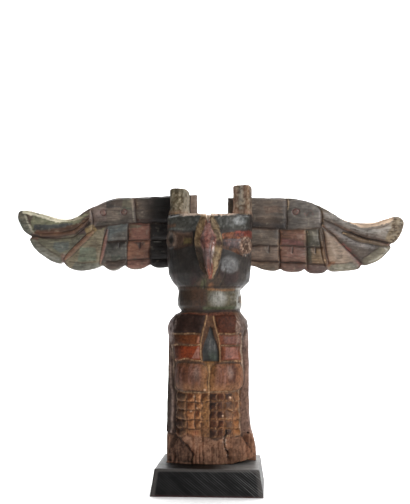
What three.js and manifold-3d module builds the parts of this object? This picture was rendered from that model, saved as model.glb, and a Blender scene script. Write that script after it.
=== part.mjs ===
// A carved and painted totem pole: an eagle figure cut from one half log, with two plank
// wings fixed on its flat back, standing on a black-stained wooden plinth.
// Millimetres. +X is the viewer's right, +Y points away from the viewer and +Z is up.
// The origin is the centre of the plinth's underside.

import * as THREE from 'three';
import { mergeVertices } from 'three/addons/utils/BufferGeometryUtils.js';
import Module from 'manifold-3d';

const wasm = await Module();
wasm.setup();

// Driving dimensions
const poleHeight = 410;
const plinthHeight = 43;
const plinthSideMargin = 6.5;
const plinthBackMargin = 34;
const plinthFlare = 6.5;
const plinthEdgeChamfer = 1.5;
const wingThickness = 20;
const wingEdgeChamfer = 2.5;
const leftWingLength = 316;
const rightWingLength = 302;
const seatGap = 0.3;

// The log is carved in shares of its own height: one unit is a hundredth of it.
const unit = poleHeight / 100;
const backDepth = 10 * unit;
const backCorner = 1.5 * unit;
const headTop = 100;
const logFrontSteps = 24;

// Where the wings' inner ends sit on the log's back, in the same units.
const leftWingInner = -6;
const leftWingTop = 110;
const rightWingInner = 7;
const rightWingTop = 108.6;

// Carving of the wings
const furrowWidth = 3.6;
const furrowDepth = 2.4;
const ribWidth = 6;
const ribHeight = 1.8;
const ringRadius = 5;
const ringSteps = 14;

// A closed mesh as a solid, and back
function toSolid(geometry) {
  geometry.deleteAttribute('normal');
  geometry.deleteAttribute('uv');
  const merged = mergeVertices(geometry, 1e-4);
  const mesh = new wasm.Mesh({
    numProp: 3,
    vertProperties: new Float32Array(merged.attributes.position.array),
    triVerts: new Uint32Array(merged.index.array),
  });
  return new wasm.Manifold(mesh);
}

function toGeometry(solid) {
  const mesh = solid.getMesh();
  const geometry = new THREE.BufferGeometry();
  geometry.setAttribute('position', new THREE.BufferAttribute(mesh.vertProperties, 3));
  geometry.setIndex(new THREE.BufferAttribute(mesh.triVerts, 1));
  geometry.computeVertexNormals();
  return geometry;
}

function union(solids) {
  return solids.reduce((whole, solid) => whole.add(solid));
}

// A closed skin over rings of equally many points. flatten gives the two coordinates in
// which an end ring is a plain outline, with the rings following each other towards the
// side from which that outline is seen.
function skinOver(rings, flatten) {
  const count = rings[0].length;
  const lastRing = rings.length - 1;
  const outlineOf = ring => ring.map(point => new THREE.Vector2(...flatten(point)));
  const turned = ([a, b, c]) => [a, c, b];
  const sides = [];
  for (let level = 0; level < lastRing; level += 1) {
    for (let i = 0; i < count; i += 1) {
      const a = level * count + i;
      const b = level * count + (i + 1) % count;
      sides.push([a, b, b + count], [a, b + count, a + count]);
    }
  }
  const clockwise = THREE.ShapeUtils.isClockWise(outlineOf(rings[0]));
  const firstEnd = THREE.ShapeUtils.triangulateShape(outlineOf(rings[0]), []).map(turned);
  const lastEnd = THREE.ShapeUtils.triangulateShape(outlineOf(rings[lastRing]), [])
    .map(face => face.map(i => i + lastRing * count));
  const faces = [...(clockwise ? sides.map(turned) : sides), ...firstEnd, ...lastEnd];
  const geometry = new THREE.BufferGeometry();
  geometry.setAttribute('position', new THREE.Float32BufferAttribute(rings.flat(2), 3));
  geometry.setIndex(faces.flat());
  return geometry;
}

const seenFromAbove = ([x, y]) => [x, y];
const seenFromBehind = ([x, , z]) => [z, x];

function solidFromLevels(rings) {
  return toSolid(skinOver(rings, seenFromAbove));
}

// An outline in X and Z, cut through from front to back
function prism(outline, front, back) {
  const ringAt = y => outline.map(([x, z]) => [x, y, z]);
  return toSolid(skinOver([ringAt(front), ringAt(back)], seenFromBehind));
}

// Curves
function through(points, steps) {
  const curve = new THREE.SplineCurve(points.map(([u, v]) => new THREE.Vector2(u, v)));
  return curve.getPoints(steps).map(({ x, y }) => [x, y]);
}

function ellipse([centreX, centreZ], halfWidth, halfHeight, steps) {
  return Array.from({ length: steps }, (_, i) => {
    const angle = 2 * Math.PI * i / steps;
    return [centreX + halfWidth * Math.cos(angle), centreZ + halfHeight * Math.sin(angle)];
  });
}

const poleBottom = plinthHeight + seatGap;
const poleZ = height => poleBottom + height * unit;
const onPole = ([x, height]) => [x * unit, poleZ(height)];

// The figure: height, reach to the left, reach to the right, depth in front, squareness
const figureLevels = [
  [0, 17.4, 18.7, 7.6, 2.5],
  [2.2, 17.6, 18.8, 8.2, 2.5],
  [5.0, 17.5, 18.2, 8.6, 2.6],
  [8.0, 15.4, 15.8, 9.4, 2.7],
  [10.6, 13.6, 13.4, 10.2, 2.9],
  [13.5, 13.0, 12.6, 10.4, 2.9],
  [20.0, 12.8, 12.2, 10.5, 2.9],
  [28.8, 13.0, 12.4, 10.6, 2.9],
  [30.5, 13.4, 13.2, 10.8, 2.8],
  [35.0, 14.0, 14.0, 11.0, 2.8],
  [40.0, 14.1, 14.0, 10.6, 2.8],
  [44.0, 14.9, 13.4, 10.4, 2.8],
  [49.0, 16.3, 13.6, 10.4, 2.7],
  [52.0, 17.0, 14.6, 10.2, 2.6],
  [54.3, 17.2, 15.6, 10.0, 2.5],
  [57.0, 16.2, 15.1, 9.6, 2.5],
  [58.7, 14.8, 13.7, 9.3, 2.5],
  [60.4, 12.4, 12.4, 9.0, 2.4],
  [61.0, 11.5, 12.1, 8.4, 2.4],
  [62.8, 12.8, 13.0, 9.6, 2.4],
  [65.3, 13.0, 12.9, 9.9, 2.4],
  [69.4, 12.7, 12.3, 9.6, 2.4],
  [70.8, 13.5, 13.8, 9.8, 2.4],
  [73.0, 15.4, 16.1, 11.0, 2.4],
  [76.0, 16.7, 16.6, 12.0, 2.5],
  [81.0, 17.1, 16.9, 12.6, 2.5],
  [87.0, 17.2, 17.1, 12.7, 2.5],
  [94.0, 17.3, 17.3, 12.4, 2.5],
  [98.6, 17.4, 17.2, 12.0, 2.5],
  [100, 16.9, 16.7, 11.5, 2.5],
];

// The plain log behind the figure: height, reach to the left, reach to the right
const logLevels = [
  [0, 17.5, 18.7],
  [5.0, 17.7, 18.7],
  [9.7, 17.5, 17.6],
  [13.3, 17.3, 16.6],
  [18.7, 17.1, 16.1],
  [25.3, 17.0, 15.9],
  [40.0, 16.6, 15.9],
  [50.0, 16.6, 15.8],
  [56.0, 15.6, 15.0],
];
const logFront = 4.2;
const logCorner = 1.2;

// The torn grain of the log's foot: grooves that fade out where the carving begins
const tornTop = 11;
const tornDepth = 0.55;
function tornGrain(across, height) {
  const fade = Math.max(0, 1 - height / tornTop);
  const splinters = Math.sin(across * 17 + height * 0.3) + 0.6 * Math.sin(across * 29 + 2);
  return tornDepth * fade * splinters;
}

function figureRing([height, left, right, front, squareness], grow) {
  const power = 2 / squareness;
  const z = poleZ(height);
  const ring = [];
  for (let i = 0; i <= logFrontSteps; i += 1) {
    const angle = Math.PI * (i / logFrontSteps - 0.5);
    const across = Math.sign(angle) * Math.abs(Math.sin(angle)) ** power;
    const ahead = Math.abs(Math.cos(angle)) ** power;
    const reach = (across < 0 ? left : right) * unit + grow;
    const depth = (front + tornGrain(across, height)) * unit + grow;
    ring.push([across * reach, -ahead * depth, z]);
  }
  const rightSide = right * unit + grow;
  const leftSide = -left * unit - grow;
  ring.push([rightSide, backDepth - backCorner, z]);
  ring.push([rightSide - backCorner, backDepth, z]);
  ring.push([leftSide + backCorner, backDepth, z]);
  ring.push([leftSide, backDepth - backCorner, z]);
  return ring;
}

function figure(grow) {
  return solidFromLevels(figureLevels.map(level => figureRing(level, grow)));
}

function plainLog() {
  const ring = ([height, left, right]) => {
    const z = poleZ(height);
    const outline = [
      [-left, logCorner - logFront],
      [logCorner - left, -logFront],
      [right - logCorner, -logFront],
      [right, logCorner - logFront],
    ].map(([x, y]) => [x * unit, y * unit, z]);
    const rightSide = right * unit;
    const leftSide = -left * unit;
    outline.push([rightSide, backDepth - backCorner, z]);
    outline.push([rightSide - backCorner, backDepth, z]);
    outline.push([leftSide + backCorner, backDepth, z]);
    outline.push([leftSide, backDepth - backCorner, z]);
    return outline;
  };
  return solidFromLevels(logLevels.map(ring));
}

// Raised and sunk areas follow the figure's rounded front at an even height.
const carvingReach = 25 * unit;
const frontPrism = outline => prism(outline.map(onPole), -carvingReach, 0);

function raised(outlines, lift) {
  return union(outlines.map(frontPrism)).intersect(figure(lift * unit));
}

function sunk(outlines, depth) {
  return union(outlines.map(frontPrism)).subtract(figure(-depth * unit));
}

function rectangle(left, right, bottom, top) {
  return [[left, bottom], [right, bottom], [right, top], [left, top]];
}

// How far the carved areas stand out of the figure or sink into it
const scaleLift = 0.6;
const thighLift = 1.1;
const chestPlateLift = 0.7;
const chestHollowDepth = 0.9;
const browLift = 0.45;
const eyeBandDepth = 0.45;
const eyeLift = 0.4;
const pupilShare = 0.5;
const pupilDepth = 0.1;

// Rows of square scales on the two legs, split by grooves
const scaleColumns = [-12.7, -8.5, -5.1, -2.4, 0.5, 3.7, 6.3, 9.8, 12.2];
const scaleRows = [28.5, 24.8, 21.6, 17.7, 14.1, 10.9];
const scaleGroove = 0.35;
const wornScales = ['4-1', '4-2'];
function scaleOutlines() {
  const outlines = [];
  for (let row = 0; row + 1 < scaleRows.length; row += 1) {
    for (let column = 0; column + 1 < scaleColumns.length; column += 1) {
      if (wornScales.includes(`${row}-${column}`)) continue;
      const left = scaleColumns[column] + scaleGroove;
      const right = scaleColumns[column + 1] - scaleGroove;
      const bottom = scaleRows[row + 1] + scaleGroove;
      outlines.push(rectangle(left, right, bottom, scaleRows[row] - scaleGroove));
    }
  }
  return outlines;
}

// Thighs with rounded outer corners, above the scales
const thighTop = 39.6;
const thighBottom = 29.2;
function thighOutline(inner, outer) {
  const cornerCurve = through(
    [[outer, 35], [outer * 0.97, 31.8], [outer * 0.84, 29.6], [outer * 0.66, thighBottom]], 6);
  return [[inner, thighBottom], [inner, thighTop], [outer * 0.97, thighTop], ...cornerCurve];
}

// Plates of the chest: two shoulder plates over two rows of panels
const chestPlates = [
  [[-15.2, 52.1], [-2.7, 52.1], [-1.1, 59.2], [-13.2, 59.2]],
  [[4.3, 52.1], [13.4, 52.1], [13.2, 59.2], [2.4, 59.2]],
  rectangle(-13.8, -3.3, 47.6, 51.6),
  rectangle(4.3, 12.9, 47.6, 51.6),
  rectangle(-13.8, -3.1, 41.4, 47.1),
  rectangle(5.0, 12.9, 41.4, 47.1),
];

// The hollow between the panels, under the chin
const chestHollow = [
  [-2.2, 41.0],
  [4.2, 41.0],
  [4.1, 45.0],
  [1.7, 54.0],
  [0.5, 55.0],
  [-2.3, 45.0],
];

// The head's brows, the bands that run to the eyes, and the eyes
const brows = [
  [[-16.6, 93.4], [-5.0, 93.0], [-4.0, 99.2], [-16.6, 99.2]],
  [[5.4, 93.0], [16.4, 94.0], [16.4, 99.2], [4.2, 99.2]],
];
const eyeBands = [
  [[-14.0, 85.6], [-6.2, 87.0], [-6.2, 92.6], [-14.0, 92.8]],
  [[6.1, 86.2], [14, 83.4], [14, 92.9], [6.1, 91.6]],
];
const eyeCentres = [[-15.1, 89.8], [15.1, 87.2]];
const eyeHalfWidth = 2.3;
const eyeHalfHeight = 3.5;
const eyeSteps = 18;
const eyeOutline = (centre, share) =>
  ellipse(centre, eyeHalfWidth * share, eyeHalfHeight * share, eyeSteps);

// The hooked beak: height, sideways shift, flank reach, flank depth, ridge reach, ridge depth
const beakLevels = [
  [98.6, 0.1, 2.6, 12.4, 0.9, 12.7],
  [95.3, 0.1, 4.1, 13.2, 1.0, 14.1],
  [92.0, 0.2, 5.1, 13.7, 1.9, 16.1],
  [89.0, 0.3, 5.6, 13.9, 2.8, 17.9],
  [86.8, 0.4, 5.5, 13.7, 2.2, 19.0],
  [84.4, 0.5, 5.1, 13.2, 1.6, 19.6],
  [81.5, 0.6, 4.4, 12.7, 1.5, 19.4],
  [78.6, 0.7, 3.4, 12.0, 1.3, 18.5],
  [76.3, 0.8, 2.2, 11.0, 1.0, 17.1],
  [74.8, 0.9, 1.2, 10.0, 0.5, 16.0],
];
const beakRoot = 8;
function beak() {
  const rings = beakLevels.map(([height, shift, flank, flankDepth, ridge, ridgeDepth]) => {
    const cheek = flankDepth + 0.45 * (ridgeDepth - flankDepth);
    const half = [
      [flank, beakRoot],
      [flank, flankDepth],
      [ridge * 1.3, cheek],
      [ridge * 0.6, ridgeDepth],
    ];
    const mirrored = half.map(([x, depth]) => [-x, depth]).reverse();
    return [...half, ...mirrored].map(
      ([x, depth]) => [(x + shift) * unit, -depth * unit, poleZ(height)]);
  });
  return solidFromLevels(rings.reverse());
}

// The V notch in the front of the head's top
const browNotch = [[-1.1, 100.5], [0.1, 96.0], [1.4, 100.5]];
const notchBack = 4;

// Two upright stubs on the head's top corners. Each outline runs along the front of the
// stub from its left side to its right side, in front of the log's flat back.
const stubRoot = 92;
const stubs = [
  {
    top: 110.9,
    flare: 0.6,
    front: [[-16.0, 3], [-15.0, 4.8], [-12.4, 5.7], [-10.2, 4.9], [-9.1, 2.5]],
  },
  {
    top: 112.1,
    flare: 0.3,
    front: [[9.8, 3], [10.8, 5.2], [14.6, 5.6], [16.6, 4.0], [17.2, 1.5]],
  },
];
const stubChamfer = 0.4;
const stubFlareHeight = 2.5;
function stub({ top, flare, front }) {
  const first = front[0][0];
  const last = front[front.length - 1][0];
  const middle = (first + last) / 2;
  const back = backDepth / unit;
  const outline = [...front.map(([x, depth]) => [x, -depth]), [last, back], [first, back]];
  const ringAt = (height, wider) => outline.map(([x, y]) => {
    const side = Math.sign(x - middle) * wider;
    const ahead = y < 0 ? -wider : 0;
    return [(x + side) * unit, (y + ahead) * unit, poleZ(height)];
  });
  return solidFromLevels([
    ringAt(stubRoot, flare),
    ringAt(headTop, flare),
    ringAt(headTop + stubFlareHeight, 0),
    ringAt(top - stubChamfer, 0),
    ringAt(top, -stubChamfer),
  ]);
}

// The broken edge of the log's foot, which stands clear of the plinth at its right front
const brokenFoot = [[6, -1], [19.5, -1], [19.5, 2.8], [15.4, 2.0], [12.2, 1.1], [6, 0]];
const brokenFootBack = 3.5;

// A bite out of the collar's right edge
const collarChip = [[12.1, 64.4], [14.5, 63.6], [14.5, 67.2], [12.5, 66.8]];

function carvedPole() {
  const thighs = [thighOutline(-0.2, -14.1), thighOutline(0.9, 13.9)];
  let pole = union([
    figure(0),
    plainLog(),
    raised(scaleOutlines(), scaleLift),
    raised(thighs, thighLift),
    raised(chestPlates, chestPlateLift),
    raised(brows, browLift),
  ]);
  pole = pole.subtract(sunk([chestHollow], chestHollowDepth));
  pole = pole.subtract(sunk(eyeBands, eyeBandDepth));
  pole = pole.add(raised(eyeCentres.map(centre => eyeOutline(centre, 1)), eyeLift));
  pole = pole.subtract(sunk(eyeCentres.map(centre => eyeOutline(centre, pupilShare)), pupilDepth));
  pole = union([pole, beak(), ...stubs.map(stub)]);
  pole = pole.subtract(prism(browNotch.map(onPole), -carvingReach, -notchBack * unit));
  pole = pole.subtract(prism(brokenFoot.map(onPole), -carvingReach, brokenFootBack * unit));
  return pole.subtract(frontPrism(collarChip));
}

// Wings. Their carving is in hundredths of the wing's own length: along it from the inner
// end, and up from the top corner of the inner end.
const leftWing = {
  direction: -1,
  inner: leftWingInner * unit,
  top: poleZ(leftWingTop),
  length: leftWingLength,
  leadingEdge: [
    [0, 0], [33, -1.3], [47, -2.1], [59.4, -7.2], [68, -12.2], [74, -13.2], [83, -11],
    [97, -7.9], [100, -11.6], [97, -18.4], [93.7, -21.8],
  ],
  feathers: [
    [[92, -22.6], [93, -24.8], [88.6, -30.9], [81.6, -36], [76.6, -37.8], [74.6, -36.8]],
    [[74.4, -36.8], [70.5, -40.2], [65, -41.7], [57, -40.6], [52.5, -38.7]],
    [[52.3, -38.7], [48.4, -41.4], [44.6, -41.4], [40.2, -38.7]],
    [[40, -38.7], [36.3, -40.7], [31.6, -40.7], [25.9, -38.2]],
    [[25.7, -38.2], [22, -40.1], [15, -39.6], [0, -38.6]],
  ],
  furrows: [
    [[34.5, -2], [33.5, -15]],
    [[13, -15.4], [34, -15.2], [47, -16.2], [57.5, -17.6]],
    [[13, -24.9], [34, -24.9], [49.5, -26]],
    [[13, -35.4], [34, -35.4], [50, -36.8]],
    [[25.9, -15.4], [25.9, -35.4]],
    [[38, -15.4], [38.6, -35.4]],
    [[59, -8], [57.6, -13], [58, -18.5]],
    [[59.5, -14.8], [68, -21.4], [78, -24], [93, -22.4]],
    [[95.8, -10.6], [93.4, -16], [90.8, -20.4]],
    [[88.6, -25.6], [82, -30.6], [76.4, -34]],
    [[55.4, -38.4], [63, -39.2], [71, -37]],
  ],
  ribs: [
    [[49.3, -19.4], [53.2, -38]],
    [[60.5, -12.6], [68.5, -18.9], [79, -21.3], [91, -20.6]],
    [[57.5, -20.2], [63.6, -26], [73, -35.6]],
  ],
  rings: [[51.7, -9.6], [40.3, -9.1]],
};

const rightWing = {
  direction: 1,
  inner: rightWingInner * unit,
  top: poleZ(rightWingTop),
  length: rightWingLength,
  leadingEdge: [
    [0, 0], [30, -0.3], [44.8, -2], [56.3, -7.2], [66.6, -13.2], [74, -14.8], [83, -14.8],
    [95.5, -11.2], [100, -15], [97.7, -22.1], [95, -25.6], [92.6, -26.8],
  ],
  feathers: [
    [[91.8, -27.4], [92.1, -29.7], [86.4, -35.7], [79, -38.9], [76.2, -38.8]],
    [[76, -38.8], [74, -41.1], [68, -42], [60, -42.5], [57, -41.3]],
    [[56.8, -41.3], [53.6, -43.3], [47.1, -43.3], [43.8, -41.2]],
    [[43.6, -41.2], [40.6, -42.6], [33.6, -42.5], [30.2, -41]],
    [[30, -41], [26, -42], [20, -41.2], [13.5, -39], [0, -38]],
  ],
  furrows: [
    [[33.7, -1], [33.7, -17.6]],
    [[13, -17], [33.7, -18], [46, -18.6], [53, -17.4]],
    [[13, -27.8], [34, -27.8], [53.5, -29]],
    [[13, -35.4], [34, -37.2], [55, -38.6]],
    [[29.6, -18], [29.6, -37]],
    [[44.6, -18.4], [45.4, -38]],
    [[51.5, -4.6], [53.8, -10], [53, -17.4]],
    [[54.8, -12.2], [66, -17.6], [78, -22.6], [92.6, -26]],
    [[54.2, -16.6], [62.3, -24.4], [70.2, -32.7], [75.8, -37.8]],
    [[96, -13.4], [95.2, -19], [92.6, -24.4]],
    [[85.6, -28.6], [81, -32.4], [77.4, -35]],
    [[60.4, -38.4], [70.6, -37]],
  ],
  ribs: [
    [[52.7, -20], [56.6, -38.6]],
    [[61, -18], [70.8, -22.9], [81, -25.9], [88.5, -27]],
  ],
  rings: [[39, -8.3], [46.5, -9.1]],
};

// A plank with chamfered edges. The outline is in X and Z.
function plank(outline, front, back, chamfer) {
  const count = outline.length;
  const clockwise = THREE.ShapeUtils.isClockWise(outline.map(([x, z]) => new THREE.Vector2(x, z)));
  const inward = clockwise ? -1 : 1;
  const inset = outline.map(([x, z], i) => {
    const [beforeX, beforeZ] = outline[(i + count - 1) % count];
    const [afterX, afterZ] = outline[(i + 1) % count];
    const along = new THREE.Vector2(afterX - beforeX, afterZ - beforeZ).normalize();
    return [x - along.y * chamfer * inward, z + along.x * chamfer * inward];
  });
  const ringAt = (ring, y) => ring.map(([x, z]) => [x, y, z]);
  const rings = [
    ringAt(inset, front),
    ringAt(outline, front + chamfer),
    ringAt(outline, back - chamfer),
    ringAt(inset, back),
  ];
  return toSolid(skinOver(rings, seenFromBehind));
}

// A straight bar of a given cross-section between two points of the wing's face. The section
// lists sideways and depth distances.
function barBetween([startX, startZ], [endX, endZ], section, overlap) {
  const along = new THREE.Vector2(endX - startX, endZ - startZ).normalize();
  const ringAt = (x, z) => section.map(([side, y]) => [x - along.y * side, y, z + along.x * side]);
  const rings = [
    ringAt(startX - along.x * overlap, startZ - along.y * overlap),
    ringAt(endX + along.x * overlap, endZ + along.y * overlap),
  ];
  const seenAlong = ([x, y, z]) => [y, z * along.x - x * along.y];
  return toSolid(skinOver(rings, seenAlong));
}

function barsAlong(path, section, overlap) {
  const bars = [];
  for (let i = 0; i + 1 < path.length; i += 1) {
    bars.push(barBetween(path[i], path[i + 1], section, overlap));
  }
  return union(bars);
}

// A round groove, as the ring that is cut away
function ringGroove([x, z], front) {
  const profile = [
    new THREE.Vector2(ringRadius - furrowWidth, -furrowDepth),
    new THREE.Vector2(ringRadius + furrowWidth, -furrowDepth),
    new THREE.Vector2(ringRadius, furrowDepth),
    new THREE.Vector2(ringRadius - furrowWidth, -furrowDepth),
  ];
  const ring = new THREE.LatheGeometry(profile, ringSteps);
  ring.translate(x, front, z);
  return toSolid(ring);
}

const splineSteps = 3;
function wing({ direction, inner, top, length, leadingEdge, feathers, furrows, ribs, rings }) {
  const share = length / 100;
  const place = ([u, v]) => [inner + direction * u * share, top + v * share];
  const smooth = points => through(points, (points.length - 1) * splineSteps);
  const outline = [smooth(leadingEdge), ...feathers.map(smooth)].flat().map(place);
  const front = backDepth + seatGap;
  const back = front + wingThickness;
  const furrowSection = [
    [-furrowWidth, front - furrowDepth],
    [furrowWidth, front - furrowDepth],
    [0, front + furrowDepth],
  ];
  const ribSection = [
    [-ribWidth / 2, front + ribHeight],
    [-ribWidth / 3, front - ribHeight],
    [ribWidth / 3, front - ribHeight],
    [ribWidth / 2, front + ribHeight],
  ];
  let solid = plank(outline, front, back, wingEdgeChamfer);
  furrows.forEach(path => {
    solid = solid.subtract(barsAlong(path.map(place), furrowSection, furrowWidth / 4));
  });
  ribs.forEach(path => {
    solid = solid.add(barsAlong(path.map(place), ribSection, 0));
  });
  rings.forEach(centre => {
    solid = solid.subtract(ringGroove(place(centre), front));
  });
  return solid;
}

// The plinth: a low block whose sides slope out to its foot
function plinth() {
  const footReach = Math.max(...figureLevels.map(([, , right]) => right)) * unit;
  const halfWidth = footReach + plinthSideMargin;
  const halfDepth = backDepth + plinthBackMargin;
  const ringAt = (z, wider) => {
    const x = halfWidth + wider;
    const y = halfDepth + wider;
    const cut = plinthEdgeChamfer;
    return [
      [-x + cut, -y], [x - cut, -y], [x, -y + cut], [x, y - cut],
      [x - cut, y], [-x + cut, y], [-x, y - cut], [-x, -y + cut],
    ].map(([px, py]) => [px, py, z]);
  };
  return solidFromLevels([
    ringAt(0, plinthFlare),
    ringAt(plinthHeight - plinthEdgeChamfer, 0),
    ringAt(plinthHeight, -plinthEdgeChamfer),
  ]);
}

function piece(name, solid, color, roughness) {
  const material = new THREE.MeshStandardMaterial({ color, roughness, metalness: 0 });
  const mesh = new THREE.Mesh(toGeometry(solid), material);
  mesh.name = name;
  return mesh;
}

const totem = new THREE.Group();
totem.add(piece('plinth', plinth(), 0x1b1a19, 0.55));
totem.add(piece('carved_pole', carvedPole(), 0x5a3a2a, 0.5));
totem.add(piece('left_wing', wing(leftWing), 0x4a4640, 0.55));
totem.add(piece('right_wing', wing(rightWing), 0x574a42, 0.55));

export default totem;
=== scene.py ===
# Looks of a carved and painted totem pole: an eagle cut from a half log, two plank wings on
# its flat back and a black-stained plinth. Metres, +X to the viewer's right, +Y away, +Z up.
import math

import bpy
import numpy as np
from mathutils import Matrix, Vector


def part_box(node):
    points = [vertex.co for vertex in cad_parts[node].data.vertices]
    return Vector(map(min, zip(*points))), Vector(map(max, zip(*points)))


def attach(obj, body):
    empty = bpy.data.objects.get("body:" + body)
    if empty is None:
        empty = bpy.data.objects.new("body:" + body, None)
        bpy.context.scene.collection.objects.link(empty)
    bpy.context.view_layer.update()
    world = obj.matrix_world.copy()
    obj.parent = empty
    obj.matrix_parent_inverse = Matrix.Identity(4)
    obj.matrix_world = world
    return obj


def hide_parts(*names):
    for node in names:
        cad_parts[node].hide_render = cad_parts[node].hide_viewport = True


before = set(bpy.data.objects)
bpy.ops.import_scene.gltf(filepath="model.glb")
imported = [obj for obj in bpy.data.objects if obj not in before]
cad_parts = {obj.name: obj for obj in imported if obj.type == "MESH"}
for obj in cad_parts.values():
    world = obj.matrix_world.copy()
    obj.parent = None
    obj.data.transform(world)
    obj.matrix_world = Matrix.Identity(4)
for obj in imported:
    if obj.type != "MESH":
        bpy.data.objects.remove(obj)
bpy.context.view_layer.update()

# Shares that the carving uses: one unit is a hundredth of the log's height up to the head's
# top, and a wing's unit is a hundredth of its length.
STUB_TOP = 112.1
HEAD_TOP = 100.0
pole_low, pole_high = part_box("carved_pole")
UNIT = (pole_high.z - pole_low.z) / STUB_TOP
POLE_BOTTOM = pole_low.z
BACK = pole_high.y / UNIT
BACK_CORNER = 1.5

# The figure: height, reach to the left, reach to the right, depth in front, squareness
FIGURE = np.array([
    [0, 17.4, 18.7, 7.6, 2.5], [2.2, 17.6, 18.8, 8.2, 2.5], [5.0, 17.5, 18.2, 8.6, 2.6],
    [8.0, 15.4, 15.8, 9.4, 2.7], [10.6, 13.6, 13.4, 10.2, 2.9], [13.5, 13.0, 12.6, 10.4, 2.9],
    [20.0, 12.8, 12.2, 10.5, 2.9], [28.8, 13.0, 12.4, 10.6, 2.9], [30.5, 13.4, 13.2, 10.8, 2.8],
    [35.0, 14.0, 14.0, 11.0, 2.8], [40.0, 14.1, 14.0, 10.6, 2.8], [44.0, 14.9, 13.4, 10.4, 2.8],
    [49.0, 16.3, 13.6, 10.4, 2.7], [52.0, 17.0, 14.6, 10.2, 2.6], [54.3, 17.2, 15.6, 10.0, 2.5],
    [57.0, 16.2, 15.1, 9.6, 2.5], [58.7, 14.8, 13.7, 9.3, 2.5], [60.4, 12.4, 12.4, 9.0, 2.4],
    [61.0, 11.5, 12.1, 8.4, 2.4], [62.8, 12.8, 13.0, 9.6, 2.4], [65.3, 13.0, 12.9, 9.9, 2.4],
    [69.4, 12.7, 12.3, 9.6, 2.4], [70.8, 13.5, 13.8, 9.8, 2.4], [73.0, 15.4, 16.1, 11.0, 2.4],
    [76.0, 16.7, 16.6, 12.0, 2.5], [81.0, 17.1, 16.9, 12.6, 2.5], [87.0, 17.2, 17.1, 12.7, 2.5],
    [94.0, 17.3, 17.3, 12.4, 2.5], [98.6, 17.4, 17.2, 12.0, 2.5], [100, 16.9, 16.7, 11.5, 2.5],
])

# The plain log behind the figure: height, reach to the left, reach to the right
LOG = np.array([
    [0, 17.5, 18.7], [5.0, 17.7, 18.7], [9.7, 17.5, 17.6], [13.3, 17.3, 16.6], [18.7, 17.1, 16.1],
    [25.3, 17.0, 15.9], [40.0, 16.6, 15.9], [50.0, 16.6, 15.8], [56.0, 15.6, 15.0],
])
LOG_FRONT = 4.2
LOG_CORNER = 1.2

# How the figure blends into the log, and a depth that lies behind both fronts
SEAM_BLEND = 0.22
BEHIND = 3.0

# Steps along the front, side, rounded corner and back of half a section
SECTION_STEPS = (260, 39, 11, 29)
SECTION_DENSITY = (1.0, 0.5, 0.35, 0.2)


# Numbers

def random_at(cells, seed):
    """A fixed random value from -1 to 1 for each whole-numbered cell."""
    x, y, z = (cells[:, i].astype(np.int64).astype(np.uint32) for i in range(3))
    mixed = x * np.uint32(73856093) ^ y * np.uint32(19349663) ^ z * np.uint32(83492791)
    mixed ^= np.uint32(seed * 2654435761 % 2**32)
    mixed = (mixed ^ (mixed >> np.uint32(13))) * np.uint32(1274126177)
    mixed = (mixed ^ (mixed >> np.uint32(15))) * np.uint32(2246822519)
    mixed ^= mixed >> np.uint32(14)
    return mixed.astype(np.float64) / 2**31 - 1


def noise(points, size, seed, octaves=1):
    """Smooth random values from about -1 to 1 that change over size, which may be three."""
    total = np.zeros(len(points))
    weight_sum = 0.0
    for octave in range(octaves):
        cell = points / (np.array(size) / 2**octave)
        base = np.floor(cell)
        share = cell - base
        share = share * share * (3 - 2 * share)
        weight = 0.5**octave
        weight_sum += weight
        for corner in np.ndindex(2, 2, 2):
            near = np.where(np.array(corner) == 1, share, 1 - share).prod(axis=1)
            total += weight * near * random_at(base + corner, seed + octave)
    return total / weight_sum * 1.6


def ramp(value, low, high):
    """Rises smoothly from 0 to 1 while the value goes from low to high."""
    share = np.clip((value - low) / (high - low), 0, 1)
    return share * share * (3 - 2 * share)


def bell(distance, width):
    return np.exp(-(distance / width) ** 2)


def spot(across, up, reach, soft):
    """A round patch that is 1 in its middle and fades over soft to 0 at reach."""
    return ramp(reach - np.hypot(across, up), 0, soft)


def belt(distance, reach, soft):
    """The same along one axis."""
    return ramp(reach - abs(distance), 0, soft)


def inside_by(x, y, outline):
    """How far each point lies inside a closed outline, negative outside."""
    nearest = np.full(x.shape, np.inf)
    inside = np.zeros(x.shape, bool)
    for (ax, ay), (bx, by) in zip(outline, outline[1:] + outline[:1]):
        nearest = np.minimum(nearest, distance_to_bar(x, y, (ax, ay), (bx, by)))
        crosses = (ay > y) != (by > y)
        if by != ay:
            inside ^= crosses & (x < (bx - ax) * (y - ay) / (by - ay) + ax)
    return np.where(inside, nearest, -nearest)


def distance_to_bar(x, y, start, end):
    (ax, ay), (bx, by) = start, end
    across, up = bx - ax, by - ay
    share = ((x - ax) * across + (y - ay) * up) / (across**2 + up**2)
    share = np.clip(share, 0, 1)
    return np.hypot(x - ax - share * across, y - ay - share * up)


def distance_to_path(x, y, path):
    return np.minimum.reduce([distance_to_bar(x, y, a, b) for a, b in zip(path, path[1:])])


def through(points, steps):
    """A smooth line through points, as a list of points."""
    points = np.array(points, float)
    padded = np.vstack([2 * points[0] - points[1], points, 2 * points[-1] - points[-2]])
    line = []
    for i in range(len(points) - 1):
        before, start, end, after = padded[i:i + 4]
        for share in np.linspace(0, 1, steps, endpoint=False):
            bend = 2 * before - 5 * start + 4 * end - after
            turn = 3 * start - before - 3 * end + after
            line.append(0.5 * (2 * start + (end - before) * share + bend * share**2 + turn * share**3))
    line.append(points[-1])
    return [tuple(point) for point in line]


# Meshes

def mesh_object(name, points, faces):
    mesh = bpy.data.meshes.new(name)
    mesh.from_pydata(np.asarray(points).tolist(), [], faces)
    mesh.validate()
    made = bpy.data.objects.new(name, mesh)
    bpy.context.scene.collection.objects.link(made)
    return made


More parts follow.
